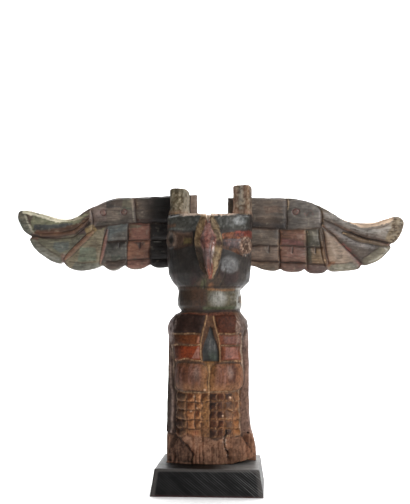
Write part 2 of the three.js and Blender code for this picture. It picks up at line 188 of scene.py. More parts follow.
def ring_faces(rings, count):
    """Quads between rings of count points that follow each other, and both end faces."""
    faces = [tuple(reversed(range(count)))]
    for level in range(rings - 1):
        start = level * count
        for i in range(count):
            j = (i + 1) % count
            faces.append((start + i, start + j, start + count + j, start + count + i))
    faces.append(tuple(range((rings - 1) * count, rings * count)))
    return faces


def lofted(name, rings):
    """A closed mesh over a list of rings, each an array of equally many points."""
    rings = np.array(rings)
    return mesh_object(name, rings.reshape(-1, 3), ring_faces(len(rings), rings.shape[1]))


SMALLEST_RING = 0.03


def cap_rings(ring, steps):
    """Rings that close an end: the last one drawn in towards its middle."""
    middle = ring.mean(axis=0)
    shares = np.linspace(1, SMALLEST_RING, steps)[1:]
    return [middle + (ring - middle) * share for share in shares]


def evaluated(made):
    """Replaces an object's mesh by what its modifiers make of it."""
    graph = bpy.context.evaluated_depsgraph_get()
    mesh = bpy.data.meshes.new_from_object(made.evaluated_get(graph))
    made.modifiers.clear()
    old = made.data
    made.data = mesh
    bpy.data.meshes.remove(old)


def combine(made, other, operation):
    modifier = made.modifiers.new("join", "BOOLEAN")
    modifier.operation = operation
    modifier.solver = "MANIFOLD"
    modifier.object = other
    evaluated(made)
    bpy.data.objects.remove(other)


def remeshed(made, voxel):
    modifier = made.modifiers.new("remesh", "REMESH")
    modifier.mode = "VOXEL"
    modifier.voxel_size = voxel
    evaluated(made)


def read_points(mesh):
    points = np.empty(len(mesh.vertices) * 3, np.float32)
    mesh.vertices.foreach_get("co", points)
    return points.reshape(-1, 3).astype(np.float64)


def read_normals(mesh):
    normals = np.empty(len(mesh.vertices) * 3, np.float32)
    mesh.vertex_normals.foreach_get("vector", normals)
    return normals.reshape(-1, 3).astype(np.float64)


def neighbour_mean(mesh, values):
    """The mean of each vertex's neighbours."""
    ends = np.empty(len(mesh.edges) * 2, np.int32)
    mesh.edges.foreach_get("vertices", ends)
    first, second = ends.reshape(-1, 2).T
    count = len(mesh.vertices)
    amount = np.bincount(first, minlength=count) + np.bincount(second, minlength=count)
    columns = values.reshape(count, -1).T
    sums = [
        np.bincount(first, column[second], count) + np.bincount(second, column[first], count)
        for column in columns
    ]
    return (np.array(sums) / np.maximum(amount, 1)).T.reshape(values.shape)


def ridge_and_groove(mesh, rounds):
    """How much each vertex stands out of its surroundings, in metres, positive on edges."""
    points = read_points(mesh)
    normals = read_normals(mesh)
    around = points
    for _ in range(rounds):
        around = neighbour_mean(mesh, around)
    return ((points - around) * normals).sum(axis=1)


# The materials darken the paint, so it may go above one
PAINT_LIMIT = 1.25


class Coat:
    """Paint, bare wood, grime and painted shade in hollows, and shine over the points of a piece."""

    def __init__(self, count, colour, shine=0.5):
        self.colour = np.tile(np.array(colour, float), (count, 1))
        self.bare = np.zeros(count)
        self.grime_and_shade = np.zeros(count)
        self.shine = np.full(count, shine)
        self.lift = np.zeros(count)
        self.edge = np.ones(count)

    def brush(self, mask, colour, shine=None):
        self.colour += (np.array(colour) - self.colour) * mask[:, None]
        if shine is not None:
            self.shine += (shine - self.shine) * mask

    def tone(self, mask, factor):
        """Multiplies the colour where the mask is 1, to darken or lighten it."""
        self.colour *= 1 + mask[:, None] * (np.array(factor) - 1)

    def raise_by(self, mask, height):
        self.lift += mask * height

    def write(self, mesh):
        colour = np.c_[np.clip(self.colour, 0, PAINT_LIMIT), np.ones(len(self.colour))]
        paint = mesh.attributes.new("paint", "FLOAT_COLOR", "POINT")
        paint.data.foreach_set("color", colour.astype(np.float32).ravel())
        for name in ("bare", "grime_and_shade", "shine"):
            layer = mesh.attributes.new(name, "FLOAT", "POINT")
            values = np.clip(getattr(self, name), 0, 1)
            layer.data.foreach_set("value", values.astype(np.float32))


# The log

def smooth_profile(levels, column, heights, blur=0.35):
    """One column of a table of levels, with its corners rounded over blur."""
    step = 0.05
    fine = np.arange(levels[0, 0], levels[-1, 0] + step / 2, step)
    values = np.interp(fine, levels[:, 0], levels[:, column])
    half = int(3 * blur / step)
    kernel = np.exp(-0.5 * (np.arange(-half, half + 1) * step / blur) ** 2)
    padded = np.pad(values, half, mode="edge")
    return np.interp(heights, fine, np.convolve(padded, kernel / kernel.sum(), mode="valid"))


def half_section(reach, front, squareness, log_reach):
    """Half of the log's outline at one height, from the middle of its front, round its side,
    to the middle of its back, with how densely each stretch is to be sampled."""
    width = max(reach, log_reach)
    front_steps, side_steps, corner_steps, back_steps = SECTION_STEPS
    x = width * np.sin(np.linspace(0, math.pi / 2, front_steps))
    share = np.clip(x / reach, 0, 1)
    rounded = -front * (1 - share**squareness) ** (1 / squareness)
    figure_y = np.where(x < reach, rounded, BEHIND)
    corner = np.clip((x - log_reach + LOG_CORNER) / LOG_CORNER, 0, 1)
    log_y = -LOG_FRONT + LOG_CORNER * (1 - np.sqrt(1 - corner**2))
    log_y = np.where((x <= log_reach) & (log_reach > 0), log_y, BEHIND)
    y = -SEAM_BLEND * np.logaddexp(-figure_y / SEAM_BLEND, -log_y / SEAM_BLEND)
    side_y = np.linspace(min(y[-1], BACK - 4), BACK - BACK_CORNER, side_steps + 1)[1:]
    turn = np.linspace(0, math.pi / 2, corner_steps + 1)[1:]
    corner_x = width - BACK_CORNER * (1 - np.cos(turn))
    corner_y = BACK - BACK_CORNER * (1 - np.sin(turn))
    back_x = np.linspace(width - BACK_CORNER, 0, back_steps + 1)[1:]
    outline_x = np.r_[x, np.full(side_steps, width), corner_x, back_x]
    outline_y = np.r_[y, side_y, corner_y, np.full(back_steps, BACK)]
    density = np.repeat(SECTION_DENSITY, SECTION_STEPS)
    return outline_x, outline_y, density


def evenly_sampled(outline_x, outline_y, density, count):
    lengths = np.hypot(np.diff(outline_x), np.diff(outline_y)) * density[1:]
    along = np.r_[0, np.cumsum(lengths)]
    places = np.linspace(0, along[-1], count)
    return np.interp(places, along, outline_x), np.interp(places, along, outline_y)


# Heights of the rows of points, from, to and apart: closer where the carving is fine
LOG_ROWS = [(0, 11, 0.3), (11, 29.4, 0.25), (29.4, 61, 0.32), (61, HEAD_TOP, 0.36)]
HALF_RING = 118


def log_mesh():
    heights = np.hstack([np.arange(*stretch) for stretch in LOG_ROWS] + [HEAD_TOP])
    left, right, front, squareness = (
        smooth_profile(FIGURE, column, heights) for column in range(1, 5))
    log_left, log_right = (smooth_profile(LOG, column, heights) for column in (1, 2))
    ends = heights > LOG[-1, 0]
    log_left[ends] = 0
    log_right[ends] = 0
    rings = []
    for i, height in enumerate(heights):
        sides = []
        for reach, log_reach in ((left[i], log_left[i]), (right[i], log_right[i])):
            outline = half_section(reach, front[i], squareness[i], log_reach)
            sides.append(evenly_sampled(*outline, HALF_RING))
        (left_x, left_y), (right_x, right_y) = sides
        x = np.r_[-left_x[::-1], right_x[1:-1]]
        y = np.r_[left_y[::-1], right_y[1:-1]]
        rings.append(np.c_[x, y, np.full(len(x), height)])
    rings += cap_rings(rings[-1], steps=22)
    return lofted("carved_totem_pole", rings)


# The hooked beak: height, shift, flank reach, flank depth, ridge reach, ridge depth
BEAK = np.array([
    [98.6, 0.1, 2.6, 12.4, 0.9, 12.7], [95.3, 0.1, 4.1, 13.2, 1.0, 14.1],
    [92.0, 0.2, 5.1, 13.7, 1.9, 16.1], [89.0, 0.3, 5.6, 13.9, 2.8, 17.9],
    [86.8, 0.4, 5.5, 13.7, 2.2, 19.0], [84.4, 0.5, 5.1, 13.2, 1.6, 19.6],
    [81.5, 0.6, 4.4, 12.7, 1.5, 19.4], [78.6, 0.7, 3.4, 12.0, 1.3, 18.5],
    [76.3, 0.8, 2.2, 11.0, 1.0, 17.1], [74.8, 0.9, 1.2, 10.0, 0.5, 16.0],
])[::-1]
BEAK_ROOT = 8.0


def beak_values(heights, blur=0.5):
    return [smooth_profile(BEAK, column, heights, blur) for column in range(1, 6)]


def beak_mesh():
    heights = np.arange(BEAK[0, 0], BEAK[-1, 0], 0.3)
    rings = []
    for height, shift, flank, flank_depth, ridge, ridge_depth in zip(heights, *beak_values(heights)):
        cheek = flank_depth + 0.45 * (ridge_depth - flank_depth)
        half = through([
            (flank, BEAK_ROOT), (flank * 1.01, flank_depth - 0.6), (flank * 0.93, flank_depth + 0.1),
            (ridge * 1.3, cheek), (ridge * 0.75, ridge_depth - 0.25), (0, ridge_depth + 0.1),
        ], 5)
        mirrored = [(-x, depth) for x, depth in half[-2::-1]]
        outline = np.array(half + mirrored)
        rise = 0.55 * (ridge_depth - outline[:, 1]) * ramp(79 - height, 0, 4)
        rings.append(np.c_[outline[:, 0] + shift, -outline[:, 1], height + rise])
    return lofted("beak", rings)


# The two upright stubs on the head: outline along the front, top, flare at the foot
STUBS = [
    {"top": 110.9, "flare": 0.6,
     "front": [(-16.0, 3), (-15.0, 4.8), (-12.4, 5.7), (-10.2, 4.9), (-9.1, 2.5)]},
    {"top": 112.1, "flare": 0.3,
     "front": [(9.8, 3), (10.8, 5.2), (14.6, 5.6), (16.6, 4.0), (17.2, 1.5)]},
]
STUB_ROOT = 97.0
STUB_SETBACK = 0.02


def stub_mesh(top, flare, front):
    back = BACK - STUB_SETBACK
    corners = [(x, -depth) for x, depth in front]
    corners += [(front[-1][0], back - 0.5), (front[-1][0] - 0.5, back)]
    corners += [(front[0][0] + 0.5, back), (front[0][0], back - 0.5)]
    closed = np.array(corners + corners[:1])
    along = np.r_[0, np.cumsum(np.hypot(*np.diff(closed, axis=0).T))]
    places = np.linspace(0, along[-1], 140, endpoint=False)
    outline = np.c_[np.interp(places, along, closed[:, 0]), np.interp(places, along, closed[:, 1])]
    middle = outline.mean(axis=0)
    rings = []
    heights = np.r_[np.arange(STUB_ROOT, top - 0.4, 0.36), top - 0.4, top - 0.15, top]
    for height in heights:
        wider = flare * (1 - ramp(height, HEAD_TOP, HEAD_TOP + 3.5))
        wider -= 0.35 * ramp(height, top - 0.5, top) ** 2
        away = np.sign(outline - middle) * wider
        away[:, 1] = np.where(outline[:, 1] < 0, away[:, 1], 0)
        rings.append(np.c_[outline + away, np.full(len(outline), height)])
    rings += cap_rings(rings[-1], steps=14)
    return lofted("stub", rings)


def notch_mesh():
    """The V that is cut out of the front of the head's top."""
    outline = [(-1.1, 100.6), (0.1, 96.0), (1.4, 100.6)]
    rings = [[(x, y, height) for x, height in outline] for y in (-4.0, -20.0)]
    return lofted("notch", rings)


# Carving and paint of the log, in units

RAW_WOOD = (0.56, 0.42, 0.3)
OLD_WOOD = (0.135, 0.085, 0.052)


def paint_area(coat, x, h, outline, colour, soft=0.35, strength=1.0, shine=None):
    mask = ramp(inside_by(x, h, outline), -soft / 2, soft / 2)
    coat.brush(mask * strength, colour, shine)


def paint_line(coat, x, h, path, colour, half=0.2, strength=0.85):
    near = distance_to_path(x, h, path)
    coat.brush(bell(near, half) * strength, colour)


# The scales: bounds of the columns and of the rows, and the tint of each column
SCALE_COLUMNS = [-12.7, -8.5, -5.1, -2.4, 0.5, 3.7, 6.3, 9.8, 12.2]
SCALE_ROWS = [28.5, 24.8, 21.6, 17.7, 14.1, 10.9]
SCALE_TINTS = [
    (0.125, 0.07, 0.038), (0.52, 0.255, 0.125), (0.5, 0.26, 0.13), (0.205, 0.1, 0.037),
    (0.06, 0.022, 0.01), (0.076, 0.025, 0.011), (0.148, 0.078, 0.044), (0.36, 0.19, 0.098),
]
SCALE_LIFT = 0.6
# Pale specks of bare wood on the legs
SPECKS = [
    (-4.7, 25.3), (-5.3, 27.2), (5.6, 19.7), (-1.3, 29.8), (8.4, 27.0), (-6.6, 21.2), (-4.4, 22.6),
]
# How much is left of the worn scales, by row and column
WORN_SCALES = {(4, 1): 0.3, (4, 2): 0.2, (3, 3): 0.4, (2, 3): 0.4, (1, 3): 0.5, (4, 3): 0.3}


def carve_scales(coat, x, h, points, mottle):
    """Rows of square scales on the two legs, each standing out most at its lower right."""
    x = x + 0.32 * noise(points, 1.8, 31)
    h = h + 0.28 * noise(points, 1.8, 32)
    legs = ramp(h, 10.4, 11.4) * ramp(29.3 - h, 0, 0.4)
    legs = legs * belt(x, 13.0, 0.5)
    coat.brush(legs, (0.18, 0.088, 0.042), 0.5)
    for row, (top, bottom) in enumerate(zip(SCALE_ROWS, SCALE_ROWS[1:])):
        for column, (left, right) in enumerate(zip(SCALE_COLUMNS, SCALE_COLUMNS[1:])):
            keep = WORN_SCALES.get((row, column), 1.0)
            outline = [(left, bottom), (right, bottom), (right, top), (left, top)]
            mask = ramp(inside_by(x, h, outline), 0.1, 0.5)
            across = np.clip((x - left) / (right - left), 0, 1)
            down = np.clip((top - h) / (top - bottom), 0, 1)
            own = 1 + 0.3 * math.sin(row * 7.3 + column * 3.1)
            coat.raise_by(mask, SCALE_LIFT * keep * own * (0.1 + 0.5 * across + 0.8 * down))
            coat.brush(mask * (0.4 + 0.5 * keep), SCALE_TINTS[column])
            # Painted shade in the upper left of each scale, under the ledge of the one above.
            pit = ramp(0.9 * (1 - across) + 0.8 * (1 - down) + 0.25 * mottle, 0.45, 1.15)
            deep = 0.8 + 0.3 * math.sin(row * 4.9 + column * 2.3)
            coat.tone(mask * pit * keep * deep, (0.26, 0.19, 0.16))
            # Worn pale wood and a painted highlight along each scale's lower and right edge.
            ledge_wear_and_highlight = mask * ramp(np.maximum(down, across * 0.9), 0.68, 0.98)
            coat.brush(ledge_wear_and_highlight * 0.65 * keep * ramp(mottle, -0.5, 0.3), (0.48, 0.28, 0.15))
            if column == 0:
                bulge = np.sin(math.pi * down) * (abs(down - 0.5) < 0.5)
                bulge *= ramp(-x, 10.6, 12.2) * ramp(13.2 + x, 0, 0.3)
                coat.raise_by(bulge, 0.5)
    golden = spot(x + 1.4, (h - 21.0) / 2.4, 2.6, 1.5)
    coat.brush(golden * 0.45, (0.225, 0.125, 0.052))
    salmon = spot(x + 4.8, (h - 12.4) / 0.9, 2.4, 1.8)
    coat.brush(salmon * 0.65, (0.36, 0.14, 0.075))
    for spot_x, spot_h in SPECKS:
        speck = spot(x - spot_x, h - spot_h, 0.55, 0.3)
        coat.brush(speck * 0.8, (0.64, 0.48, 0.38))
    amber = spot(x - 10.6, (h - 14.6) / 2.0, 2.0, 1.2)
    coat.brush(amber * 0.6, (0.33, 0.14, 0.045))


# The thighs: their heights, and the inner and outer side of each
THIGH_TOP = 40.2
THIGH_FOOT = 29.2
THIGHS = [(-0.2, -14.1), (0.9, 13.9)]


def thigh_outline(inner, outer):
    side = math.copysign(1, outer)
    turn = [(0.88, THIGH_TOP), (0.96, 38.4), (1, 35), (0.97, 31.8), (0.84, 29.6), (0.66, THIGH_FOOT)]
    outside = through([(outer * share, height) for share, height in turn], 4)
    inside = [(inner, THIGH_FOOT), (inner, 37.2), (inner + 0.7 * side, 38.8)]
    return inside + [(inner + 2.4 * side, THIGH_TOP)] + outside


def carve_thighs(coat, x, h, points):
    streak = noise(points, (1.1, 1.1, 9), 33, 3)
    for inner, outer in THIGHS:
        depth = inside_by(x, h, thigh_outline(inner, outer))
        coat.raise_by(np.sqrt(np.clip(depth / 3.8, 0, 1)), 1.6)
        body = ramp(depth, 0.0, 0.5)
        coat.brush(body, (0.138, 0.062, 0.04), 0.42)
        # Painted shade: the left thigh is darker towards its outer left edge.
        coat.tone(body * ramp(abs(x), 10.5, 13.0) * ramp(-x, -1, 1), (0.34, 0.28, 0.22))
        coat.brush(body * ramp(1.6 - depth, 0, 1.6) * 0.45, (0.215, 0.115, 0.058))
        coat.brush(body * ramp(streak, 0.0, 0.5) * 0.65, (0.195, 0.112, 0.1))
        coat.brush(body * ramp(-streak, 0.0, 0.5) * 0.75, (0.062, 0.026, 0.018))
        coat.brush(body * ramp(33.6 - h, 0, 3.5) * 0.55, (0.33, 0.185, 0.105))
        coat.brush(body * ramp(x, 9.6, 12.0) * 0.6, (0.25, 0.125, 0.068))
    inner_edge = belt(x - 0.4, 4.5, 3.5) * ramp(h, 28.6, 29.6)
    coat.brush(inner_edge * ramp(40 - h, 0, 1) * 0.55, (0.3, 0.16, 0.068))
    # Painted highlights: a pale sheen high on each thigh.
    for place, strength in ((-4.4, 0.45), (8.4, 0.32)):
        sheen = spot((x - place) / 1.5, (h - 36.4) / 3.8, 1, 0.8)
        coat.brush(sheen * strength, (0.3, 0.235, 0.225), 0.7)
    patch = belt(x - 0.6, 2.6, 1.5) * belt(h - 39.9, 1.7, 1.2)
    coat.brush(patch * 0.7, (0.23, 0.13, 0.052))


# The chest's raised plates and panels: outline, paint and how far the paint's edge is blurred
CHEST_PLATES = [
    ([(-16.5, 51.9), (-2.7, 51.9), (-1.0, 59.8), (-14.0, 59.8)], (0.021, 0.011, 0.009), 0.2),
    ([(4.3, 51.95), (13.4, 51.95), (13.2, 55.0), (10.8, 59.4), (2.4, 59.4)],
     (0.05, 0.016, 0.008), 0.6),
    ([(-13.8, 47.6), (-3.3, 47.6), (-3.3, 51.6), (-13.8, 51.6)], (0.104, 0.035, 0.013), 0.2),
    ([(4.3, 47.6), (12.9, 47.6), (12.9, 51.6), (4.3, 51.6)], (0.13, 0.048, 0.03), 0.2),
    ([(-13.8, 41.4), (-3.1, 41.4), (-3.1, 47.1), (-13.8, 47.1)], (0.15, 0.032, 0.011), 0.2),
    ([(5.0, 41.4), (12.9, 41.4), (12.9, 47.1), (5.0, 47.1)], (0.145, 0.052, 0.03), 0.2),
]
# Patches of other paint on them: outline, colour, softness, strength and shine
CHEST_PATCHES = [
    ([(6.6, 41.9), (11.6, 41.9), (11.6, 46.6), (6.6, 46.6)], (0.215, 0.09, 0.072), 0.7, 0.9, 0.6),
    ([(6.2, 48.2), (12.2, 48.2), (12.2, 51.0), (6.2, 51.0)], (0.125, 0.052, 0.044), 0.7, 0.85, 0.6),
    ([(-6.4, 42.2), (-3.9, 46.8), (-3.3, 46.8), (-3.3, 42.0)], (0.24, 0.128, 0.112), 0.4, 0.9),
    ([(-4.3, 48.3), (-3.8, 50.8), (-3.2, 50.8), (-3.2, 48.3)], (0.3, 0.15, 0.11), 0.5, 0.8),
    ([(-0.5, 59.2), (10.5, 59.2), (9.5, 60.4), (-0.5, 60.4)], (0.12, 0.048, 0.034), 0.7, 0.8),
]
CHEST_HOLLOW = [(-2.2, 41.0), (4.2, 41.0), (4.1, 45.0), (1.7, 54.0), (0.5, 55.0), (-2.3, 45.0)]
HOLLOW_LEFT = [(-0.5, 59.4), (-1.2, 56.0), (-2.4, 50.7), (-2.9, 43.2), (-2.4, 40.9)]
HOLLOW_RIGHT = [(2.0, 58.9), (3.3, 53.8), (4.2, 50.7), (4.6, 44.9), (4.6, 41.2)]
CHEST_SEAMS = [
    [(-14.5, 51.7), (-8, 51.9), (-3.2, 52.0)], [(-13.8, 47.5), (-8, 47.2), (-3.0, 47.5)],
    [(-13.8, 41.1), (-7.5, 41.8), (-3.0, 41.0)], [(4.4, 51.9), (12.8, 51.9)],
    [(4.7, 47.3), (12.8, 47.4)], [(4.8, 41.0), (12.8, 41.0)],
]
FIGURE_EDGES = [
    [(13.1, 50.6), (13.2, 45.0), (13.4, 40.2), (13.9, 36.8), (13.6, 32.8), (11.8, 29.2),
     (12.3, 20), (12.4, 12)],
    [(-14.8, 47.3), (-14.3, 39.6), (-14.1, 34.0), (-13.4, 30.0), (-12.6, 28.7), (-12.8, 20)],
]
BARE_EDGE = (0.52, 0.36, 0.23)


def carve_chest(coat, x, h, mottle):
    chest = ramp(h, 40.2, 41.0) * ramp(61.0 - h, 0, 0.5)
    coat.brush(chest, (0.09, 0.052, 0.034), 0.4)
    coat.brush(chest * ramp(41.6 - h, 0, 0.8), (0.15, 0.08, 0.044))
    for outline, colour, blur in CHEST_PLATES:
        depth = inside_by(x, h, outline)
        coat.raise_by(ramp(depth, -0.2, 0.9), 0.55)
        coat.brush(ramp(depth, -blur, blur), np.array(colour) * 1.1, 0.4)
    panels = ramp(h, 41.5, 42.5) * ramp(51.6 - h, 0, 0.5)
    coat.brush(panels * ramp(-9.2 - x, 0, 3.5) * 0.75, (0.04, 0.022, 0.016))
    for patch in CHEST_PATCHES:
        paint_area(coat, x, h, *patch)
    paint_line(coat, x, h, [(-12, 59.9), (-0.5, 60.0)], (0.13, 0.048, 0.032), 0.3)
    depth = inside_by(x, h, CHEST_HOLLOW)
    coat.raise_by(ramp(depth, -0.25, 0.35), -1.0)
    hollow = ramp(depth, -0.05, 0.3)
    coat.brush(hollow, (0.05, 0.058, 0.066), 0.6)
    coat.brush(hollow * ramp(46.5 - h, 0, 4), (0.052, 0.074, 0.066))
    # Painted shadow: the hollow's left part is painted near black.
    coat.brush(hollow * ramp(0.2 - x - 0.25 * (h - 46), 0, 1.2) * 0.85, (0.012, 0.011, 0.012))
    for path in [HOLLOW_LEFT, HOLLOW_RIGHT]:
        coat.raise_by(bell(distance_to_path(x, h, path), 0.3), 0.2)
        paint_line(coat, x, h, path, (0.4, 0.27, 0.16), 0.2, 0.8)
    for path in CHEST_SEAMS:
        near = distance_to_path(x, h - 0.12 * mottle, path)
        coat.brush(ramp(0.5 - near, 0, 0.3) * 0.7, (0.15, 0.08, 0.042))
        worn = bell(near, 0.2) * ramp(mottle, -0.5, 0.3)
        coat.brush(worn * 0.85, BARE_EDGE)
    paint_line(coat, x, h, [(10.6, 59.0), (12.9, 55.2)], (0.25, 0.19, 0.16), 0.2, 0.6)
    # Painted highlight: a bright streak beside the right plate's V mark.
    paint_line(coat, x, h, [(11.2, 56.8), (12.7, 54.9)], (0.56, 0.5, 0.5), 0.2, 0.8)
    for place in (0.9, 2.6):
        streak = bell(x - place - 0.06 * (h - 48), 0.25) * hollow
        coat.brush(streak * belt(h - 48.2, 3.4, 2) * 0.55, (0.12, 0.125, 0.14))


def carve_sides(coat, x, h, points):
    """The plain log that shows as a strip at either side of the figure."""
    ahead = ramp(h, 4, 12) * ramp(56.5 - h, 0, 1.0)
    right = ramp(x - smooth_profile(FIGURE, 2, h), -0.1, 0.3) * ahead
    left = ramp(-x - smooth_profile(FIGURE, 1, h), -0.1, 0.3) * ahead
    streak = noise(points, (1.2, 1.2, 14), 35, 2)
    coat.brush(right, (0.19, 0.114, 0.086), 0.4)
    coat.brush(right * ramp(streak, 0.0, 0.8) * 0.5, (0.235, 0.14, 0.115))
    # Painted shadow: the right strip is darker beside the figure's edge.
    coat.tone(right * ramp(1.0 - (x - smooth_profile(FIGURE, 2, h)), 0, 0.9), (0.5, 0.5, 0.5))
    coat.brush(left, (0.255, 0.19, 0.163), 0.4)
    beside = -x - smooth_profile(FIGURE, 1, h)
    shaded = left * ramp(1.9 - beside, 0, 0.8) * ramp(47 - h, 0, 6)
    coat.tone(shaded, (0.36, 0.31, 0.29))
    # Painted shade: the left strip is darker lower down, away from the figure.
    coat.tone(left * ramp(beside, 1.5, 2.8) * ramp(43 - h, 0, 10), (0.18, 0.18, 0.19))
    coat.tone(right * belt(h - 45, 7, 5), (0.58, 0.6, 0.62))
    coat.tone(left * ramp(streak, -0.3, 0.5), (0.55, 0.52, 0.5))
    shoulder = ramp(h, 44, 50) * ramp(60.5 - h, 0, 2)
    grain = noise(points, (0.8, 0.8, 3.0), 36, 2)
    hatched = (0.45 + 0.5 * grain) * ramp(abs(x) - 0.35 * (60 - h) * (x < 0), 10.4, 11.6)
    coat.brush(shoulder * np.clip(hatched, 0, 1), (0.235, 0.192, 0.18), 0.35)
    coat.tone(shoulder * ramp(-x, 12.6, 14.2), (1.8, 1.86, 1.95))


def carve_edges(coat, x, h, mottle):
    """Pale worn lines along the sides, between the thighs and above the scales."""
    for path in FIGURE_EDGES:
        near = distance_to_path(x, h, path)
        coat.brush(bell(near, 0.28) * 0.85, (0.6, 0.45, 0.35))
    beside = x - 0.35
    centre = bell(beside, 0.26) * ramp(h, 11, 14) * ramp(40.0 - h, 0, 1)
    coat.raise_by(centre, 0.18)
    coat.brush(centre * (0.25 + 0.55 * ramp(h, 27, 30)), (0.48, 0.32, 0.17))
    shaded = bell(beside - 0.55, 0.4) * ramp(h, 9, 13) * ramp(29 - h, 0, 1)
    coat.tone(shaded, (0.45, 0.38, 0.34))
    for path in ([(-12, 28.9), (-3.8, 28.7), (0.3, 28.9)], [(0.3, 28.9), (11.8, 29.3)]):
        near = distance_to_path(x, h, path)
        coat.brush(bell(near, 0.26) * ramp(mottle, -0.8, 0.1) * 0.85, BARE_EDGE)


# The head: brows, the bands that run to the eyes, and the eyes
BROWS = [
    [(-16.6, 93.4), (-1.5, 93.0), (-1.5, 99.2), (-16.6, 99.2)],
    [(1.5, 93.0), (16.4, 94.0), (16.4, 99.2), (1.5, 99.2)],
]
EYE_BANDS = [
    [(-14.0, 85.6), (-6.2, 87.0), (-6.2, 92.6), (-14.0, 92.8)],
    [(6.1, 86.2), (14.0, 83.4), (14.0, 92.9), (6.1, 91.6)],
]
# Paint beside and on the bands: outline, colour, softness, strength and shine
BAND_PAINT = [
    (EYE_BANDS[0], (0.05, 0.03, 0.021), 0.8, 1, 0.5),
    ([(-17, 94.6), (-12.8, 94.6), (-12.8, 96.0), (-17, 96.0)], (0.11, 0.06, 0.036), 0.6, 0.8),
    ([(-10, 87.6), (-6.6, 87.8), (-6.6, 90.3), (-10, 90.3)], (0.08, 0.06, 0.022), 0.9, 0.9),
    (EYE_BANDS[1], (0.049, 0.028, 0.027), 0.5, 1, 0.6),
    ([(5.9, 89.6), (13.5, 90.2), (17.2, 90.6), (17.2, 93.2), (13.5, 92.9), (5.9, 91.7)],
     (0.14, 0.05, 0.022), 0.5, 0.9, 0.5),
    ([(5.9, 85.9), (14.2, 82.9), (14.2, 85.3), (5.9, 87.6)], (0.064, 0.025, 0.01), 0.5, 0.9, 0.5),
    ([(11, 91.0), (17.2, 90.8), (17.2, 93.3), (11, 92.9)], (0.15, 0.034, 0.026), 0.8, 0.8),
]
# Each eye: its centre and the colours of its ring and its pit
EYES = [
    ((-15.1, 89.8), (0.105, 0.076, 0.06), (0.012, 0.009, 0.006)),
    ((15.1, 87.2), (0.2, 0.128, 0.092), (0.08, 0.046, 0.03)),
]
EYE_HALF_WIDTH = 2.3
EYE_HALF_HEIGHT = 3.5


def carve_head(coat, x, h, y, points, mottle):
    head = ramp(h, 70.6, 71.2)
    right = ramp(x, -1, 4)
    coat.brush(head, (0.013, 0.01, 0.008), 0.56)
    # Painted light: the right half of the head is painted lighter, as lit from the right.
    coat.brush(head * right, (0.026, 0.021, 0.018), 0.56)
    maroon = head * ramp(80 - h, 0, 6) * ramp(noise(points, 5, 37), -0.3, 0.6)
    coat.brush(maroon * 0.6, (0.03, 0.01, 0.009))
    # Painted highlight: a pale glare patch on the right cheek.
    cheek = spot(x - 8.6, (h - 79.4) / 0.9, 4.6, 2.4)
    coat.brush(cheek * (0.62 + 0.25 * mottle), (0.205, 0.21, 0.215), 0.8)
    for outline in BROWS:
        depth = inside_by(x, h, outline)
        coat.raise_by(ramp(depth, -0.3, 0.9), 0.45)
        brow = ramp(depth, -0.4, 0.6)
        coat.brush(brow, (0.038, 0.04, 0.036), 0.54)
        coat.brush(brow * ramp(-x, 4, 9), (0.06, 0.06, 0.052))
        coat.tone(brow * ramp(x, 0, 3), (0.85, 0.8, 0.74))
        coat.brush(brow * ramp(mottle, 0.0, 0.6) * 0.6, (0.115, 0.12, 0.112))
    # Painted highlight: a pale glare patch on the right brow.
    shine = spot(x - 12.6, (h - 96.9) / 0.75, 3.0, 1.3)
    coat.brush(shine * (0.66 + 0.34 * mottle), (0.185, 0.2, 0.205), 0.8)
    carve_bands(coat, x, h, mottle)
    carve_eyes(coat, x, h, points, mottle)
    # Pale worn wood along the head's top edge, with a painted rim highlight.
    rim = ramp(h + 0.5 * mottle, 98.7, 99.5) * belt(x, 12, 3)
    coat.brush(rim * 0.9, (0.8, 0.64, 0.53), 0.2)
    carve_chin(coat, x, h, y)


def carve_bands(coat, x, h, mottle):
    for outline in EYE_BANDS:
        coat.raise_by(ramp(inside_by(x, h, outline), -0.15, 0.6), -0.45)
    for patch in BAND_PAINT:
        paint_area(coat, x, h, *patch)
    paint_line(coat, x, h, [(-13, 92.0), (-6.4, 91.9)], (0.12, 0.07, 0.048), 0.3, 0.7)
    paint_line(coat, x, h, [(6.2, 88.9), (12.8, 89.0)], (0.13, 0.05, 0.036), 0.22, 0.7)
    right_band = ramp(inside_by(x, h, EYE_BANDS[1]), -0.6, 0.2)
    coat.tone(right_band * ramp(-mottle, 0.0, 0.6), (0.35, 0.32, 0.32))
    coat.tone(right_band * ramp(mottle, 0.2, 0.7), (1.8, 1.8, 1.8))
    for path in ([(5.9, 89.5), (14, 90.1)], [(5.9, 87.6), (14.2, 85.2)]):
        coat.raise_by(bell(distance_to_path(x, h, path), 0.25), -0.2)


def carve_eyes(coat, x, h, points, mottle):
    for (eye_x, eye_h), ring, pit in EYES:
        away = np.hypot((x - eye_x) / EYE_HALF_WIDTH, (h - eye_h) / EYE_HALF_HEIGHT)
        coat.raise_by(bell(away - 0.84, 0.2), 0.4)
        coat.raise_by(ramp(0.6 - away, 0, 0.4), -0.45)
        coat.brush(ramp(1.1 - away, 0, 0.25) * (0.75 + 0.25 * mottle), ring, 0.5)
        coat.brush(ramp(0.62 - away, 0, 0.25), pit)
    sparkle = spot((x - 15.0) / 2.2, (h - 87) / 4.0, 1.25, 0.4)
    speckled = random_at(np.floor(points / 0.6), 38)
    coat.tone(sparkle * ramp(-speckled, 0.1, 0.7), (0.42, 0.36, 0.33))
    coat.brush(sparkle * ramp(speckled, 0.45, 0.8) * 0.6, (0.4, 0.3, 0.235))


